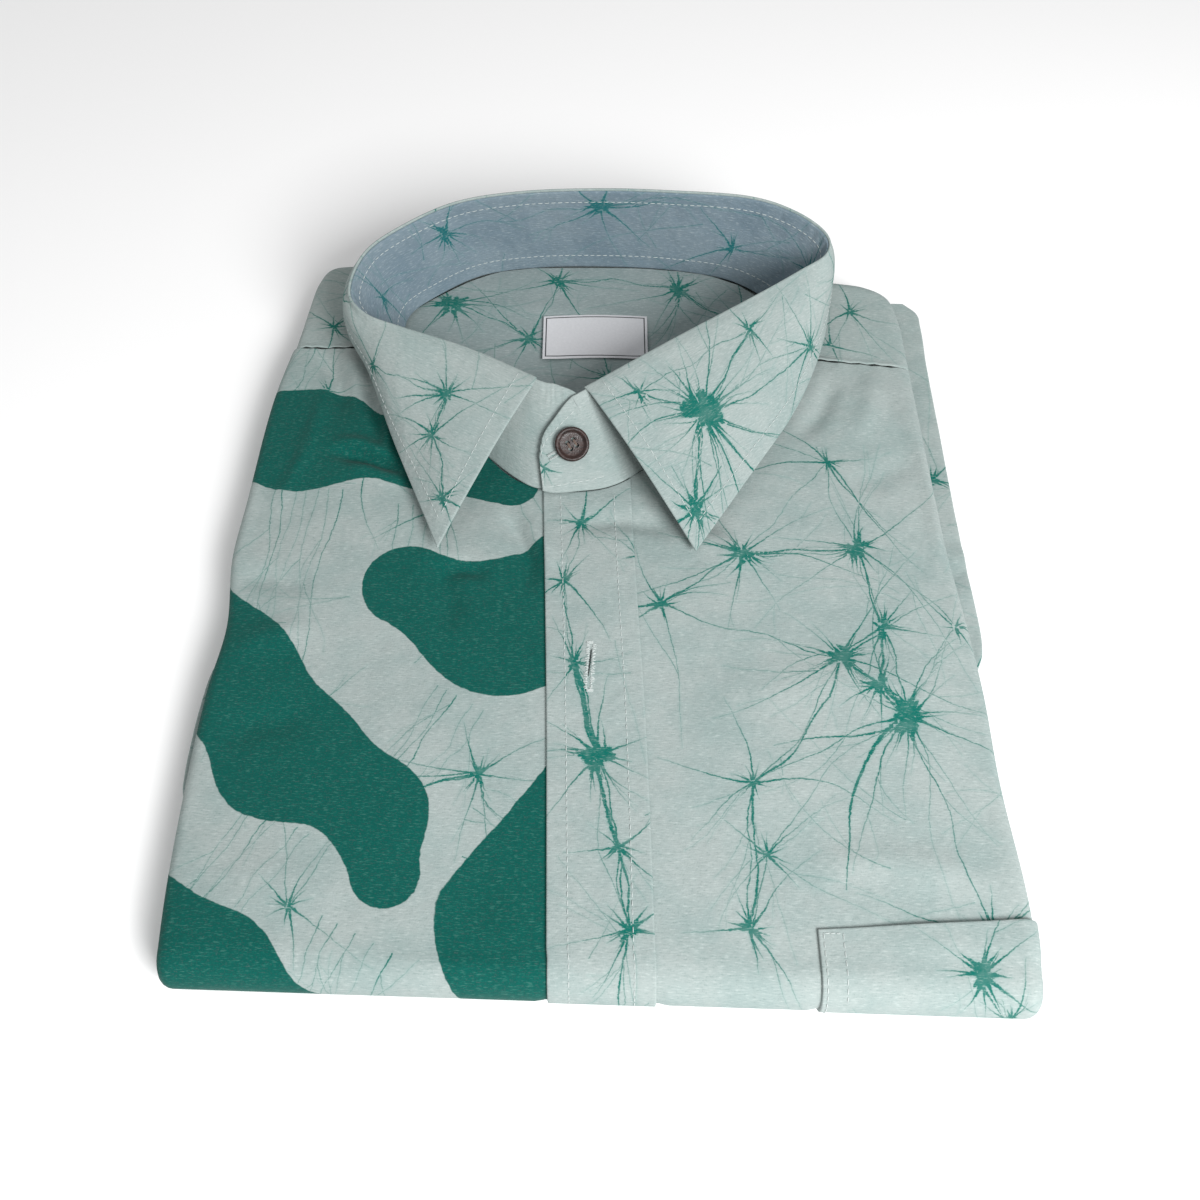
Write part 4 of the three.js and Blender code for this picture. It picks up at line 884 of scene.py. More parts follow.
def neck_outline(under_front=5.0, short_of_back=1.2):
    """The neckline, grown outwards under the fronts and a little short of the back."""
    points = np.concatenate([np.stack([NECKLINE["x"], NECKLINE["y"]], -1)[1:],
                             np.stack([YOKE["nx"], YOKE["ny"]], -1)[:-1][::-1]])
    run = unit(np.roll(points, -1, 0) - np.roll(points, 1, 0))
    grow = under_front - (short_of_back + under_front) * smooth(points[:, 1], 270, 300)
    return points + np.stack([run[:, 1], -run[:, 0]], -1) * grow[:, None]


def neck_floor():
    outline = neck_outline()
    low, high = outline[:, 1].min() + 0.3, outline[:, 1].max() - 0.3
    rows = low + (high - low) * spread(high - low, 1.6)
    bounds = []
    for y in rows:
        a, b = outline, np.roll(outline, -1, 0)
        crossing = (a[:, 1] <= y) != (b[:, 1] <= y)
        t = (y - a[crossing, 1]) / (b[crossing, 1] - a[crossing, 1])
        xs = a[crossing, 0] + (b[crossing, 0] - a[crossing, 0]) * t
        bounds.append((xs.min(), xs.max()))
    left, right = np.array(bounds).T[..., None]
    share = spread(160, 1.6)
    x = left + (right - left) * share[None]
    y = np.broadcast_to(rows[:, None], x.shape)
    # soft folds of the back, seen down in the neck
    wave = 0.55 * np.sin((x + 0.4 * y) / 15) * smooth(y, 200, 220) * (1 - smooth(y, 286, 304))
    wave = wave + 0.8 * np.exp(-(((y - 286 + 0.1 * x) / 4.0) ** 2)) * (1 - smooth(np.abs(x), 60, 78))
    cloth = np.stack([x, y], -1)
    obj = panel("yoke_lining", lambda inset: np.stack([x, y, floor_z(x, y) + wave * 0.5 - inset], -1), cloth,
                to_rim(rows - low), to_rim(share * 160), materials=(floor_cloth,),
                veins=grow_veins(FLOOR_STARS, FLOOR_LINKS, 41, (-85, 190, 85, 315, 30)))
    declare(obj, ["yoke_inside"])


SLEEVE_HALF = 0.9  # half the height of a flattened sleeve
SLEEVE_TURN = 7


def sleeve(name, node, columns, side, seed):
    """A flattened sleeve: the part that shows past the side fold is its folded edge."""
    first, last = columns["y"][0] + 0.2, columns["y"][-1] - 0.2
    rows = first + (last - first) * spread(last - first, 1.5)
    flat = (np.abs(along(columns, "y", rows, "x")) - SLEEVE_INNER - SLEEVE_HALF)[:, None]
    share = np.concatenate([np.linspace(0, 0.8, 8), np.linspace(0.83, 1, 7)])
    angle = np.concatenate([0 * share, np.linspace(0, math.pi, SLEEVE_TURN + 2)[1:-1], 0 * share + math.pi])
    reach = np.concatenate([share, np.ones(SLEEVE_TURN), share[::-1]])
    base = SLEEVE_INNER + flat * reach[None]
    y = np.broadcast_to(rows[:, None], base.shape)
    wrinkle = 0.35 * np.sin(y / 3.1 + 2 * np.sin(y / 13 + seed)) * smooth(reach, 0.6, 1)[None]
    crumpled = smooth(y, 120, 132) * (1 - smooth(y, 166, 178)) if side > 0 else smooth(y, 60, 70) * 0.6
    lift = (0.2 + 0.8 * crumpled) * wrinkle

    def place(inset):
        radius = SLEEVE_HALF - inset
        return np.stack([side * (base + radius * np.sin(angle)), y, TURN + radius * np.cos(angle) + lift], -1)

    back = np.arange(len(angle)) >= len(share) + SLEEVE_TURN
    across = SLEEVE_HALF * angle + flat * np.where(back, 2 - reach, reach)
    cloth = np.stack([across, y], -1)
    obj = panel(name, place, cloth, to_rim(rows - first), np.full(len(angle), 5.0), 0.45, materials=(cotton,),
                veins=grow_veins(SLEEVE_STARS, SLEEVE_LINKS, seed, (0, 50, 76, 300, 24)))
    declare(obj, [node])


# Folded ends of the hidden layers: bottom and top height, where each starts and ends, half its width
LAYERS = table("low high start end half", (4.2, 5.6, 200, 286, 84), (6.4, 7.8, 200, 283, 86),
               (8.3, 9.9, 190, 297, 86), (10.5, 11.6, 180, 308, 66), (11.9, 13.0, 150, 281, 90))
LAYER_TURN = 8
LAYER_WALL = 0.4


def folded_layer(n, low, high, start, end, half):
    """The turned-back end of one hidden layer."""
    radius = (high - low) / 2
    reach = np.concatenate([np.linspace(start, end - radius - 3, 20), end - radius - np.array([2, 1, 0.4])])
    angle = np.concatenate([0 * reach, np.linspace(0, math.pi, LAYER_TURN + 2)[1:-1], 0 * reach + math.pi])
    y = np.concatenate([reach, np.full(LAYER_TURN, end - radius), reach[::-1]])[:, None]
    x = (half * (2 * spread(2 * half, 3.0) - 1))[None]
    waver = 0.9 * np.sin(x / 23 + n * 2.1) + 0.5 * np.sin(x / 9 + n)
    middle = (low + high) / 2 + 0.15 * np.sin(x / 17 + n)

    def place(inset):
        out = radius - inset
        py = y + waver * smooth(y, 240, 270) + out * np.sin(angle)[:, None]
        return np.stack([np.broadcast_to(x, py.shape), py, middle + out * np.cos(angle)[:, None]], -1)

    returning = np.arange(len(angle)) >= len(reach) + LAYER_TURN
    along_y = np.where(returning, 2 * (end - radius) - y[:, 0], y[:, 0]) + radius * angle
    cloth = np.stack(np.broadcast_arrays(x, along_y[:, None] + 40 * n), -1)
    obj = shell(f"folded_layer_{n + 1}", place(0.0), place(LAYER_WALL), cloth, materials=(cotton,),
                veins=grow_veins(((-40 + 20 * n, 280 + 40 * n, 2.4, 10, 50),), (), 60 + n,
                                 (-90, 150, 90, 320 + 40 * n, 12)))
    return obj, cloth


def folded_back(half_z=2.6, turn=9, middle_z=TURN + 1.4, inside=4.5):
    """The back: one flattened tube just inside the side folds."""
    rows = np.concatenate([[14.0], np.linspace(16, 252, 60), [256.0]])
    left = along(LEFT_SIDE, "y", rows, "x")[:, None] + inside + half_z
    right = along(RIGHT_SIDE, "y", rows, "x")[:, None] - inside - half_z
    angle = np.linspace(0, math.pi, turn)
    bow, height = half_z * np.sin(angle), half_z * np.cos(angle)
    flat = np.linspace(1, 0, 24)[1:-1]
    x = np.concatenate([right + bow, left + (right - left) * flat, left - bow,
                        left + (right - left) * flat[::-1][:-1]], 1)
    z = middle_z + np.concatenate([height, 0 * flat - half_z, -height, 0 * flat[1:] + half_z])
    outer = np.stack(np.broadcast_arrays(x, rows[:, None], z), -1)
    middle = outer.mean(1, keepdims=True) * (1, 0, 1) + outer * (0, 1, 0)
    inner = outer - unit((outer - middle) * (0.02, 0, 1)) * LAYER_WALL
    cloth = np.stack(np.broadcast_arrays(running(outer[30])[None], rows[:, None]), -1)
    obj = shell("folded_back", outer, inner, cloth, materials=(cotton,),
                veins=grow_veins((), (), 71, (0, 10, 520, 256, 30)))
    return obj, cloth


placket_panel()
pocket_panel()
yoke_panel()
neck_floor()
sleeve("left_sleeve_fold", "sleeve_left", LEFT_SLEEVE, 1, 81)
sleeve("right_sleeve_fold", "sleeve_right", RIGHT_SLEEVE, -1, 82)
hidden = [folded_layer(n, *row) for n, row in enumerate(zip(*LAYERS.values()))] + [folded_back()]
for obj, cloth in hidden:
    declare(obj, ["folded_body"] if obj is hidden[0][0] else [])


# ---------------------------------------------------------------- collar
def arc_lengths(grid):
    """Length along a grid's middle line, and down each of its rows."""
    return running(grid[:, grid.shape[1] // 2]), np.array([running(line) for line in grid])


def rounded_wall(name, middle, thickness, materials, inner_slot, make_veins):
    along_mm, down = arc_lengths(middle)
    cloth = np.stack([np.broadcast_to(along_mm[:, None], down.shape), down], -1)
    share = rounding(to_rim(along_mm)[:, None], np.minimum(down, down[:, -1:] - down), thickness)
    outer, inner = thick(middle, thickness, share)
    obj = shell(name, outer, inner, cloth, materials=materials, inner_slot=inner_slot,
                veins=make_veins(cloth, along_mm))
    return obj, cloth


RING_STEP = 24.0  # about how far apart the collar tables' rows lie, in mm


def at_places(count, last):
    """Positions along the collar ring, close together at both ends."""
    return last * spread(last * RING_STEP, last * RING_STEP / count)


def star_table(cloth, rows_at, columns_t, stars):
    """Bursts given by their place on a ring (row, share of depth) as flat places."""
    return [(*cloth[np.argmin(np.abs(rows_at - at)), np.argmin(np.abs(columns_t - t))], *star)
            for at, t, *star in stars]


LEAF_WALL = 1.1
LEAF_STARS = ((17.1, 0.52, 6.6, 22, 66), (17.75, 0.88, 3.6, 13, 34), (15.3, 0.75, 2.0, 10, 40),
              (1.0, 0.35, 2.0, 10, 44), (1.0, 0.62, 2.0, 10, 40), (0.35, 0.85, 1.8, 9, 30), (2.6, 0.6, 1.4, 8, 40),
              (16.2, 0.25, 1.8, 9, 36), (9.0, 0.5, 2.4, 10, 40), (6.0, 0.5, 1.8, 9, 40), (12.0, 0.5, 2.2, 9, 40),
              (4.2, 0.4, 1.2, 8, 34), (13.8, 0.5, 1.6, 8, 34), (17.6, 0.2, 1.6, 8, 30))
LEAF_LINKS = ((0, 1, 1.3), (0, 7, 1.1), (0, 2, 0.8), (3, 4, 1.3), (4, 5, 0.9), (3, 6, 0.6), (7, 13, 0.5),
              (2, 12, 0.5), (9, 8, 0.5), (8, 10, 0.5), (0, 13, 0.8), (6, 11, 0.4))
STAND_STARS = ((9.6, 0.72, 2.6, 11, 34), (12.0, 0.8, 3.0, 11, 34), (16.4, 0.6, 3.4, 11, 40), (14.0, 0.4, 1.6, 8, 34),
               (7.6, 0.5, 1.4, 8, 30), (5.4, 0.6, 1.2, 8, 30), (24.4, 0.5, 0.8, 5, 12))


def collar_leaf():
    rows_at = at_places(330, COLLAR_LAST)
    columns_t = np.concatenate([np.linspace(0, LEAF_START, 5)[:-1],
                                LEAF_START + (1 - LEAF_START) * spread(54, 1.7)[3:]])
    at, t = rows_at[:, None], columns_t[None]
    middle = leaf_point(at, t)
    # the points curl a little, and the free edge waves
    points = np.exp(-((at / 1.4) ** 2)) * 1.6 + np.exp(-(((COLLAR_LAST - at) / 1.4) ** 2)) * 0.7
    wave = 0.5 * np.sin(at * 2.3 + 1) * smooth(t, 0.4, 1) + 0.35 * np.sin(at * 3.9) * np.sin(math.pi * t)
    edge_pucker = seam_pucker((1 - t) * 50 - 6.5, at * RING_STEP, 0.1, 2.2, 6.0)
    middle[..., 2] += smooth(t, 0.55, 1) * points + wave + edge_pucker

    def veins(flat, along_mm):
        return grow_veins(star_table(flat, rows_at, columns_t, LEAF_STARS), LEAF_LINKS, 53,
                          (0, 0, along_mm[-1], 60, 34))

    obj, cloth = rounded_wall("collar_leaf_cloth", middle, LEAF_WALL, (cotton,), 0, veins)
    declare(obj, ["collar_leaf"])
    return middle


def collar_stand():
    """The standing ring. Past the leaf, on the tab, its upper face is outer cloth too."""
    rows_at = at_places(400, STAND_LAST)
    columns_t = spread(30, 1.5)
    # at the back the foot goes down to the neck floor, and all round the top goes up into the leaf's fold
    down_to = -0.03 - 0.06 * smooth(row_at(STAND, rows_at, "by"), 250, 285)
    middle = stand_point(rows_at[:, None], down_to + (1.045 - down_to) * columns_t[None])
    ripple = seam_pucker((1 - columns_t[None]) * 30 - 3.2, rows_at[:, None] * RING_STEP, 0.12, 2.4, 7.0)
    across = unit(np.cross(np.gradient(middle, axis=0), np.gradient(middle, axis=1)))
    middle = middle + across * ripple[..., None]

    def veins(flat, along_mm):
        return grow_veins(star_table(flat, rows_at, columns_t, STAND_STARS), ((0, 1, 0.4), (1, 2, 0.4)), 57,
                          (0, 0, along_mm[-1], 32, 26))

    # its inner face takes the darker lining colour, which holds painted shade as well as the reverse side's tone
    obj, cloth = rounded_wall("collar_stand_cloth", middle, STAND_WALL - 0.3, (lining_and_shade, cotton), 1, veins)
    mesh = obj.data
    slots = np.zeros(len(mesh.polygons), np.int32)
    mesh.polygons.foreach_get("material_index", slots)
    tab = int(np.searchsorted(rows_at, STAND_LAST + 0.1 - len(STAND_TAB["bx"])))
    a_row = len(columns_t) - 1
    slots[tab * a_row:(len(rows_at) - 1) * a_row] = 1
    mesh.polygons.foreach_set("material_index", slots)
    declare(obj, ["collar_stand"])


leaf_middle = collar_leaf()
collar_stand()


# ---------------------------------------------------------------- label
def plain_cloth(name, colour, roughness, sheen=0.1, weave=9.0, strength=0.15):
    g = Graph(name)
    place = g.attribute("cloth")
    darker = (*(c * 0.86 for c in colour[:3]), 1.0)
    height = g.noise(g.stretched(place, weave * 0.4, weave), 1.0, 2.0, 0.6)
    return g.surface(g.mix(g.noise(place, 0.5, 2.0, 0.6), darker, colour), height, 0.0004, strength,
                     Roughness=roughness, Sheen_Weight=sheen)


LABEL_LINE = 0.45  # about the width of the woven border line
LABEL_MARGIN = 1.3  # its distance from the edge
LABEL_WALL = 0.4


def label_material():
    """White woven tape with a thin plain border line, bare inside."""
    g = Graph("label_tape")
    place = g.attribute("cloth")
    sides = [g.math("SUBTRACT", LABEL[size] / 2, g.math("ABSOLUTE", g.part(place, axis)))
             for axis, size in enumerate(("width", "depth"))]
    off_line = g.math("ABSOLUTE", g.math("SUBTRACT", g.math("MINIMUM", *sides), LABEL_MARGIN))
    line = g.ramp(off_line, LABEL_LINE * 0.7, LABEL_LINE * 0.4)
    tape = g.mix(g.noise(place, 0.9, 2.0, 0.6), srgb(188, 189, 192), srgb(204, 204, 207))
    height = g.noise(g.stretched(place, 3.0, 7.0), 1.0, 2.0, 0.6)
    return g.surface(g.mix(line, tape, srgb(40, 42, 46)), height, 0.0004, 0.3, Roughness=0.55, Sheen_Weight=0.2)


def neck_label():
    width, depth = LABEL["width"], LABEL["depth"]
    across, down = spread(width, 0.9), spread(depth, 0.9)
    u, v = np.meshgrid((across - 0.5) * width, (down - 0.5) * depth)
    x = LABEL["x"] + u
    y = LABEL["y"] + v + 1.2 * np.cos(u / 16)
    lift = 0.45 * smooth(np.abs(u), width * 0.32, width * 0.5) * smooth(-v, -4, depth / 2)
    cloth = np.stack([u, v], -1)
    obj = panel("neck_label", lambda inset: np.stack([x, y, floor_z(x, y) + GAP + 0.9 + lift - inset], -1), cloth,
                to_rim(down * depth), to_rim(across * width), LABEL_WALL, materials=(label_material(),))
    declare(obj, ["label"])


neck_label()

# ---------------------------------------------------------------- stitches
thread_parts = []  # vertices and faces of every stitch


def one_stitch(start, end, up, width=0.42, sides=6):
    """A short rounded length of thread lying on the cloth."""
    run = end - start
    ahead = run / np.linalg.norm(run)
    across = np.cross(ahead, up)
    across /= np.linalg.norm(across)
    lift = np.cross(across, ahead)
    rings = ((0.0, 0.35), (0.12, 0.85), (0.5, 1.0), (0.88, 0.85), (1.0, 0.35))  # place along it, and size
    turn = np.linspace(0, 2 * math.pi, sides, endpoint=False)[:, None]
    points = np.concatenate([
        start + run * t + lift * 0.1 * math.sin(math.pi * t)
        + across * np.cos(turn) * width / 2 * size + lift * np.sin(turn) * width / 2.4 * size
        for t, size in rings])
    faces = []
    for r in range(len(rings) - 1):
        for k in range(sides):
            n = (k + 1) % sides
            faces.append((r * sides + k, r * sides + n, (r + 1) * sides + n, (r + 1) * sides + k))
    end_ring = (len(rings) - 1) * sides
    caps = [tuple(range(sides))[::-1], tuple(range(end_ring, end_ring + sides))]
    thread_parts.append((points, faces + caps))


STITCH_START = 0.4


def sew(points, normals, length=1.9, gap=0.85, width=0.3, raise_by=0.07):
    """Stitches along a line of points on the cloth's face."""
    travelled = running(points)

    def at(distance, values):
        return np.array([np.interp(distance, travelled, column) for column in values.T])

    place = STITCH_START
    while place + length < travelled[-1]:
        up = at(place + length / 2, normals)
        up /= np.linalg.norm(up)
        one_stitch(at(place, points) + up * raise_by, at(place + length, points) + up * raise_by, up, width)
        place += length + gap


def stack_line(x, s, depth):
    on_top = in_stack(x, s, depth)
    return on_top, unit(in_stack(x, s, depth - 1) - in_stack(x, s, depth))


def layer_lift(s):
    """Depth of a layer that lies on the front, easing down to it round the bottom fold."""
    return -LIFT * (1 - smooth(s, 0, HALF_TURN))


def sew_placket():
    top = -above_fold(top_edge(PLACKET_MIDDLE) - PLACKET_SHORT, 0)
    s = np.linspace(top + 2, HALF_TURN * 0.9, 400)
    for edge, sign in (("left", 1), ("right", -1)):
        sew(*stack_line(placket_edge(edge, s) + sign * PLACKET_STITCH, s, layer_lift(s)))


POCKET_STITCH, POCKET_STITCH_2 = 1.6, 7.6


def sew_pocket():
    """One row down the pocket's edge, a second beside its mouth, and a bar across between them."""
    mouth_s = -above_fold(POCKET_MOUTH[0], POCKET_LEFT)
    s = np.linspace(mouth_s + 0.8, HALF_TURN + POCKET_UNDER - 2, 220)
    for inset, row in ((POCKET_STITCH, s), (POCKET_STITCH_2, s[s < mouth_s + 24])):
        sew(*stack_line(POCKET_LEFT + inset + 0 * row, row, layer_lift(row)))
    x = POCKET_LEFT + np.linspace(POCKET_STITCH, POCKET_STITCH_2, 12)
    sew(*stack_line(x, mouth_s + 1.4 + 0 * x, -LIFT + 0 * x), length=1.4, gap=0.3)


STAND_FACE = 0.62  # the stitched face of the stand lies this far from its middle


def stand_normal(at, t):
    return unit(np.cross(stand_point(at + 0.05, t) - stand_point(at - 0.05, t),
                         stand_point(at, t + 0.02) - stand_point(at, t - 0.02)))


def sew_stand():
    """Two rows inside the ring, and one round the tab."""
    at = np.linspace(2.6, 21.4, 500)
    for t in (0.9, 0.1):
        middle, normal = stand_point(at, t + 0 * at), stand_normal(at, t + 0 * at)
        to_centre = np.array([-3, 262, 40]) - middle
        normal *= np.sign((normal * to_centre).sum(-1, keepdims=True))
        sew(middle + normal * STAND_FACE, normal)
    at = np.linspace(STAND_LAST - 3.0, STAND_LAST - 0.12, 60)
    end = np.linspace(0.1, 0.9, 20)
    for path_at, path_t in ((at, 0.1 + 0 * at), (at[-1] + 0 * end, end), (at, 0.9 + 0 * at)):
        middle, normal = stand_point(path_at, path_t), stand_normal(path_at, path_t)
        normal *= np.sign(normal[..., 2:])
        sew(middle + normal * STAND_FACE, normal)


def leaf_grid_line(i, j):
    """Points and outer normals of the leaf at fractional grid places."""
    normal = unit(np.cross(np.gradient(leaf_middle, axis=0), np.gradient(leaf_middle, axis=1)))
    normal *= np.sign(normal[leaf_middle.shape[0] // 6, -2, 2])

    def sample(grid):
        i0 = np.clip(np.floor(i).astype(int), 0, grid.shape[0] - 2)
        j0 = np.clip(np.floor(j).astype(int), 0, grid.shape[1] - 2)
        a, b = (i - i0)[:, None], (j - j0)[:, None]
        return (grid[i0, j0] * (1 - a) * (1 - b) + grid[i0 + 1, j0] * a * (1 - b)
                + grid[i0, j0 + 1] * (1 - a) * b + grid[i0 + 1, j0 + 1] * a * b)

    up = unit(sample(normal))
    return sample(leaf_middle) + up * (LEAF_WALL / 2), up


LEAF_STITCH = 6.4


def sew_leaf():
    """A row set in from the free edge, and one down each end."""
    along_mm, down = arc_lengths(leaf_middle)
    rows, columns = map(np.arange, leaf_middle.shape[:2])
    i = np.linspace(np.interp(LEAF_STITCH, along_mm, rows), np.interp(along_mm[-1] - LEAF_STITCH, along_mm, rows), 700)

    def column_at(row):
        line = down[int(round(row))]
        return np.interp(line[-1] - LEAF_STITCH, line, columns)

    sew(*leaf_grid_line(i, np.array([column_at(row) for row in i])))
    for row in (i[0], i[-1]):
        sew(*leaf_grid_line(np.full(60, row), np.linspace(3.0, column_at(row), 60)))


HOLE_LEAN = 0.55  # how far the buttonhole's ends lean aside
UP = np.array([0, 0, 1.0])


def buttonhole(x_middle, y_middle, length):
    """An upright slit between two close rows of bars, with a bar tack at each end."""
    rng = np.random.default_rng(3)

    def on_placket(x, y, above):
        return in_stack(x, float(s_at(x, y)), -LIFT) + UP * above

    for place in np.linspace(-length / 2, length / 2, int(length / 0.42)):
        x = x_middle + HOLE_LEAN * math.sin(place / length * 2.2)
        y = y_middle + place
        for side in (-1, 1):
            near = side * rng.uniform(0.2, 0.6)
            far = side * rng.uniform(1.1, 2.2)
            slope = rng.normal(0, 0.3)
            one_stitch(on_placket(x + near, y, 0.1), on_placket(x + far, y + slope, 0.06), UP, 0.34, 5)
    for end in (-1, 1):
        for n in range(3):
            y = y_middle + end * (length / 2 + 0.3 + 0.35 * n)
            one_stitch(on_placket(x_middle - 1.3, y, 0.12), on_placket(x_middle + 1.3, y, 0.12), UP, 0.34, 5)


def slit(name, x_middle, y_middle, length, width):
    """Painted shade in a buttonhole's cut: a slim dark strip, pointed at both ends, laid on the placket."""
    across, t = np.meshgrid(np.linspace(-1, 1, 5), np.linspace(-1, 1, 15))
    x = x_middle + HOLE_LEAN * np.sin(t * 1.1) + across * width / 2 * np.sqrt(np.maximum(1 - t**4, 0.01))
    y = y_middle + t * length / 2
    top = in_stack(x, s_at(x, y), -LIFT - 0.14)
    obj = shell(name, top, top - UP * 0.1, np.stack([x, y], -1),
                # the strip's near-black colour is painted shade, standing in for the darkness inside the slit
                materials=(plain_cloth("slit_painted_shade", srgb(34, 42, 42), 0.9),))
    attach(obj, "root")


def sew_tab_hole():
    """The end of the tab's buttonhole, showing beside the button."""
    seat, normal, across, up = button_seat()
    for n in range(9):
        for side in (-1, 1):
            foot = seat - across * (6.6 + 0.42 * n) + up * side * 0.3
            one_stitch(foot, foot + up * side * 1.0, normal, 0.32, 5)


BUTTON = {"x": -10.6, "up": 0.59, "radius": 6.5, "thickness": 2.6, "hole": 0.9, "ring": 1.8}


def button_seat():
    """Middle of the button's back on the tab's face, its facing, and the tab's directions."""
    ats = np.arange(float(STAND_LAST) - len(STAND_TAB["bx"]), float(STAND_LAST), 0.02)
    t = np.array(BUTTON["up"])
    at = ats[np.argmax(stand_point(ats, np.full(len(ats), t))[:, 0] <= BUTTON["x"])]
    sideways = stand_point(at + 0.2, t) - stand_point(at - 0.2, t)
    upward = stand_point(at, t + 0.1) - stand_point(at, t - 0.1)
    normal = unit(np.cross(sideways, upward))
    normal = normal * np.sign(normal[2])
    across = unit(sideways) * np.sign(sideways[0])
    up = unit(np.cross(normal, across))
    up = up * np.sign(up[2])
    return stand_point(at, t) + normal * (STAND_WALL / 2 + GAP), normal, across, up


def thread_mesh(name, material):
    """Makes one mesh of the stitches sewn so far, and starts again with none."""
    points = np.concatenate([part for part, _ in thread_parts])
    bases = np.cumsum([0] + [len(part) for part, _ in thread_parts])
    faces = [[base + index for index in face] for base, (_, part) in zip(bases.tolist(), thread_parts) for face in part]
    thread_parts.clear()
    mesh = bpy.data.meshes.new(name)
    mesh.from_pydata(((points + SHIFT) / 1000).tolist(), [], faces)
    mesh.polygons.foreach_set("use_smooth", np.ones(len(mesh.polygons), bool))
    store(mesh, "cloth", "POINT", points)
    mesh.materials.append(material)
    mesh.update()
    obj = placed(name, mesh)
    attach(obj, "root")


thread = plain_cloth("white_thread", srgb(190, 198, 196), 0.7, 0.1, 4.0, 0.3)
button_thread = plain_cloth("button_thread", srgb(96, 78, 68), 0.7, 0.2, 4.0, 0.3)

sew_placket()
sew_pocket()
sew_stand()
sew_leaf()
buttonhole(-3.5, 111.0, 17.5)
# a dark strip of painted shade where the buttonhole's slit is
slit("buttonhole_slit_shade", -3.5, 112.5, 11.0, 0.55)
sew_tab_hole()
thread_mesh("topstitching", thread)


# ---------------------------------------------------------------- button
def coconut():
    g = Graph("coconut_shell")
    place = g.node("ShaderNodeTexCoord", output=3)
    speckle = g.noise(place, 900.0, 4.0, 0.7)
    grain = g.noise(g.stretched(place, 300, 1600, 600), 1.0, 3.0, 0.6)
    base = g.mix(g.ramp(grain, 0.3, 0.7), srgb(24, 13, 11), srgb(50, 30, 25))
    colour = g.mix(g.ramp(speckle, 0.6, 0.75, 0.0, 0.3), base, srgb(96, 68, 58))
    height = g.math("ADD", g.noise(g.stretched(place, 4000, 260, 900), 1.0, 2.0, 0.6), speckle)
    return g.surface(colour, height, 0.0003, 0.45, Roughness=g.ramp(grain, 0.3, 0.7, 0.3, 0.5))


DISH_DEPTH = 0.8  # its dished face lies this far below its rim
BUTTON_SIDES = 56


def turned_profile():
    """Radius and height of the button's section, from its back round the rim to the middle of its face."""
    r, t = BUTTON["radius"], BUTTON["thickness"]
    back = [(0.0, 0.0), (r * 0.5, 0.0), (r * 0.8, 0.05)]
    rim = [(r - 0.9 + 0.9 * math.sin(a), 0.95 - 0.9 * math.cos(a)) for a in np.linspace(0.4, math.pi / 2, 6)]
    crown = [(r - 0.8 + 0.8 * math.cos(a), t - 0.75 + 0.75 * math.sin(a)) for a in np.linspace(0, math.pi / 2, 7)]
    dish = [(r - 0.8 - 0.25 * k, t - 0.75 * float(smooth(k, 0, 6))) for k in range(1, 7)]
    return back + rim + crown + dish + [(3.2, t - DISH_DEPTH), (0.0, t - DISH_DEPTH)]


def turned(name, profile, sides):
    """A solid turned about z, from a section that starts and ends on the axis."""
    inner = profile[1:-1]
    n = len(inner)
    bottom, top = n * sides, n * sides + 1
    points, faces = [], []
    for k in range(sides):
        angle = 2 * math.pi * k / sides
        points += [(radius * math.cos(angle), radius * math.sin(angle), height) for radius, height in inner]
    points += [(0, 0, profile[0][1]), (0, 0, profile[-1][1])]
    for k in range(sides):
        ahead = (k + 1) % sides
        faces += [(k * n + j, ahead * n + j, ahead * n + j + 1, k * n + j + 1) for j in range(n - 1)]
    for k in range(sides):
        ahead = (k + 1) % sides
        faces += [(bottom, ahead * n, k * n), (top, k * n + n - 1, ahead * n + n - 1)]
    mesh = bpy.data.meshes.new(name)
    mesh.from_pydata([tuple(c / 1000 for c in p) for p in points], [], faces)
    return placed(name, mesh)


def drill_holes(obj):
    """Four sewing holes through a button that still lies at the middle."""
    drills = []
    for k in range(4):
        angle = math.pi / 4 + k * math.pi / 2
        bpy.ops.mesh.primitive_cylinder_add(vertices=20, radius=BUTTON["hole"] / 1000, depth=0.012)
        drill = bpy.context.object
        drill.location = (BUTTON["ring"] / 1000 * math.cos(angle), BUTTON["ring"] / 1000 * math.sin(angle), 0.001)
        hole = obj.modifiers.new(f"hole{k}", "BOOLEAN")
        hole.operation, hole.object, hole.solver = "DIFFERENCE", drill, "EXACT"
        drills.append(drill)
    bpy.context.view_layer.update()
    evaluated = obj.evaluated_get(bpy.context.evaluated_depsgraph_get())
    finished = bpy.data.meshes.new_from_object(evaluated)
    obj.modifiers.clear()
    obj.data = finished
    for drill in drills:
        bpy.data.objects.remove(drill)
    return finished


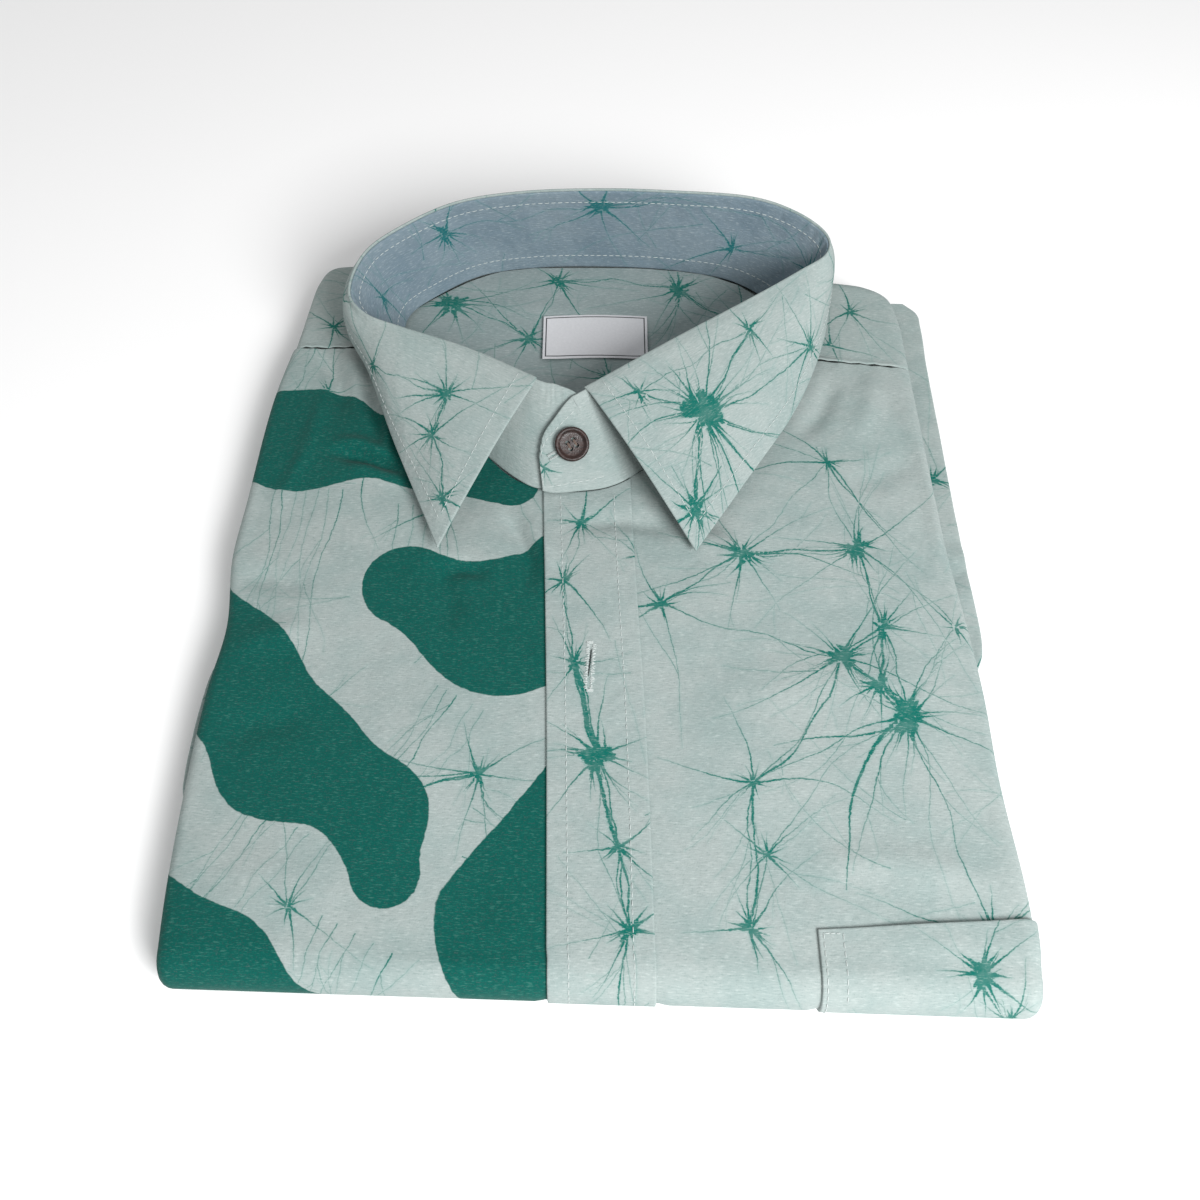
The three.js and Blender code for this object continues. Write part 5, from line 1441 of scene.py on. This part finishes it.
def neck_button():
    seat, normal, across, up = button_seat()
    obj = turned("coconut_button", turned_profile(), BUTTON_SIDES)
    finished = drill_holes(obj)
    turn = Matrix((across, up, normal)).transposed().to_4x4()
    finished.transform(Matrix.Translation(Vector((seat + SHIFT) / 1000)) @ turn)
    finished.materials.clear()
    finished.materials.append(coconut())
    finished.polygons.foreach_set("use_smooth", np.ones(len(finished.polygons), bool))
    finished.set_sharp_from_angle(angle=math.radians(40))
    finished.update()
    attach(obj, "root")
    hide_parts("neck_button")
    # two pairs of threads through the holes
    face = BUTTON["thickness"] - DISH_DEPTH + 0.1
    ring = BUTTON["ring"] / math.sqrt(2)
    for sign in (-1, 1):
        for offset in (-0.2, 0.2):
            ends = [seat + normal * face + across * (sign * ring + offset) + up * (end * ring) for end in (-1.1, 1.1)]
            one_stitch(*ends, normal, 0.45, 6)
    thread_mesh("button_stitches", button_thread)


neck_button()


# ---------------------------------------------------------------- floor, light and camera
def floor():
    bpy.ops.mesh.primitive_plane_add(size=6)
    plane = bpy.context.object
    plane.name = "floor"
    g = Graph("pale_floor")
    g.bsdf.inputs["Base Color"].default_value = (0.93, 0.93, 0.93, 1)
    g.bsdf.inputs["Roughness"].default_value = 0.9
    g.bsdf.inputs["Specular IOR Level"].default_value = 0.1
    plane.data.materials.append(g.material)


def area_light(name, place, target, size, power):
    data = bpy.data.lights.new(name, "AREA")
    data.size, data.energy = size, power
    light = placed(name, data)
    light.location = place
    light.rotation_euler = (Vector(target) - Vector(place)).to_track_quat("-Z", "Y").to_euler()


def lights():
    world = bpy.data.worlds.new("soft_world")
    bpy.context.scene.world = world
    world.use_nodes = True
    background = world.node_tree.nodes["Background"]
    background.inputs["Color"].default_value = (1.0, 1.0, 1.0, 1.0)
    background.inputs["Strength"].default_value = 0.5
    area_light("key", (0.42, -0.62, 0.62), (0.02, -0.02, 0.02), 0.4, 13.0)
    area_light("fill", (-0.7, 0.1, 0.8), (0, 0, 0.02), 0.9, 0.9)


def camera():
    """Looking along +Y and down, as over a table."""
    data = bpy.data.cameras.new("camera")
    data.lens, data.sensor_width = 35.6, 36.0
    view = placed("camera", data)
    view.location = ((np.array([0.0, -86.7, 381.0]) + SHIFT) / 1000).tolist()
    view.rotation_euler = (math.radians(90 - 58), 0, 0)
    bpy.context.scene.camera = view


floor()
lights()
camera()
bpy.context.scene.view_settings.view_transform = "Standard"
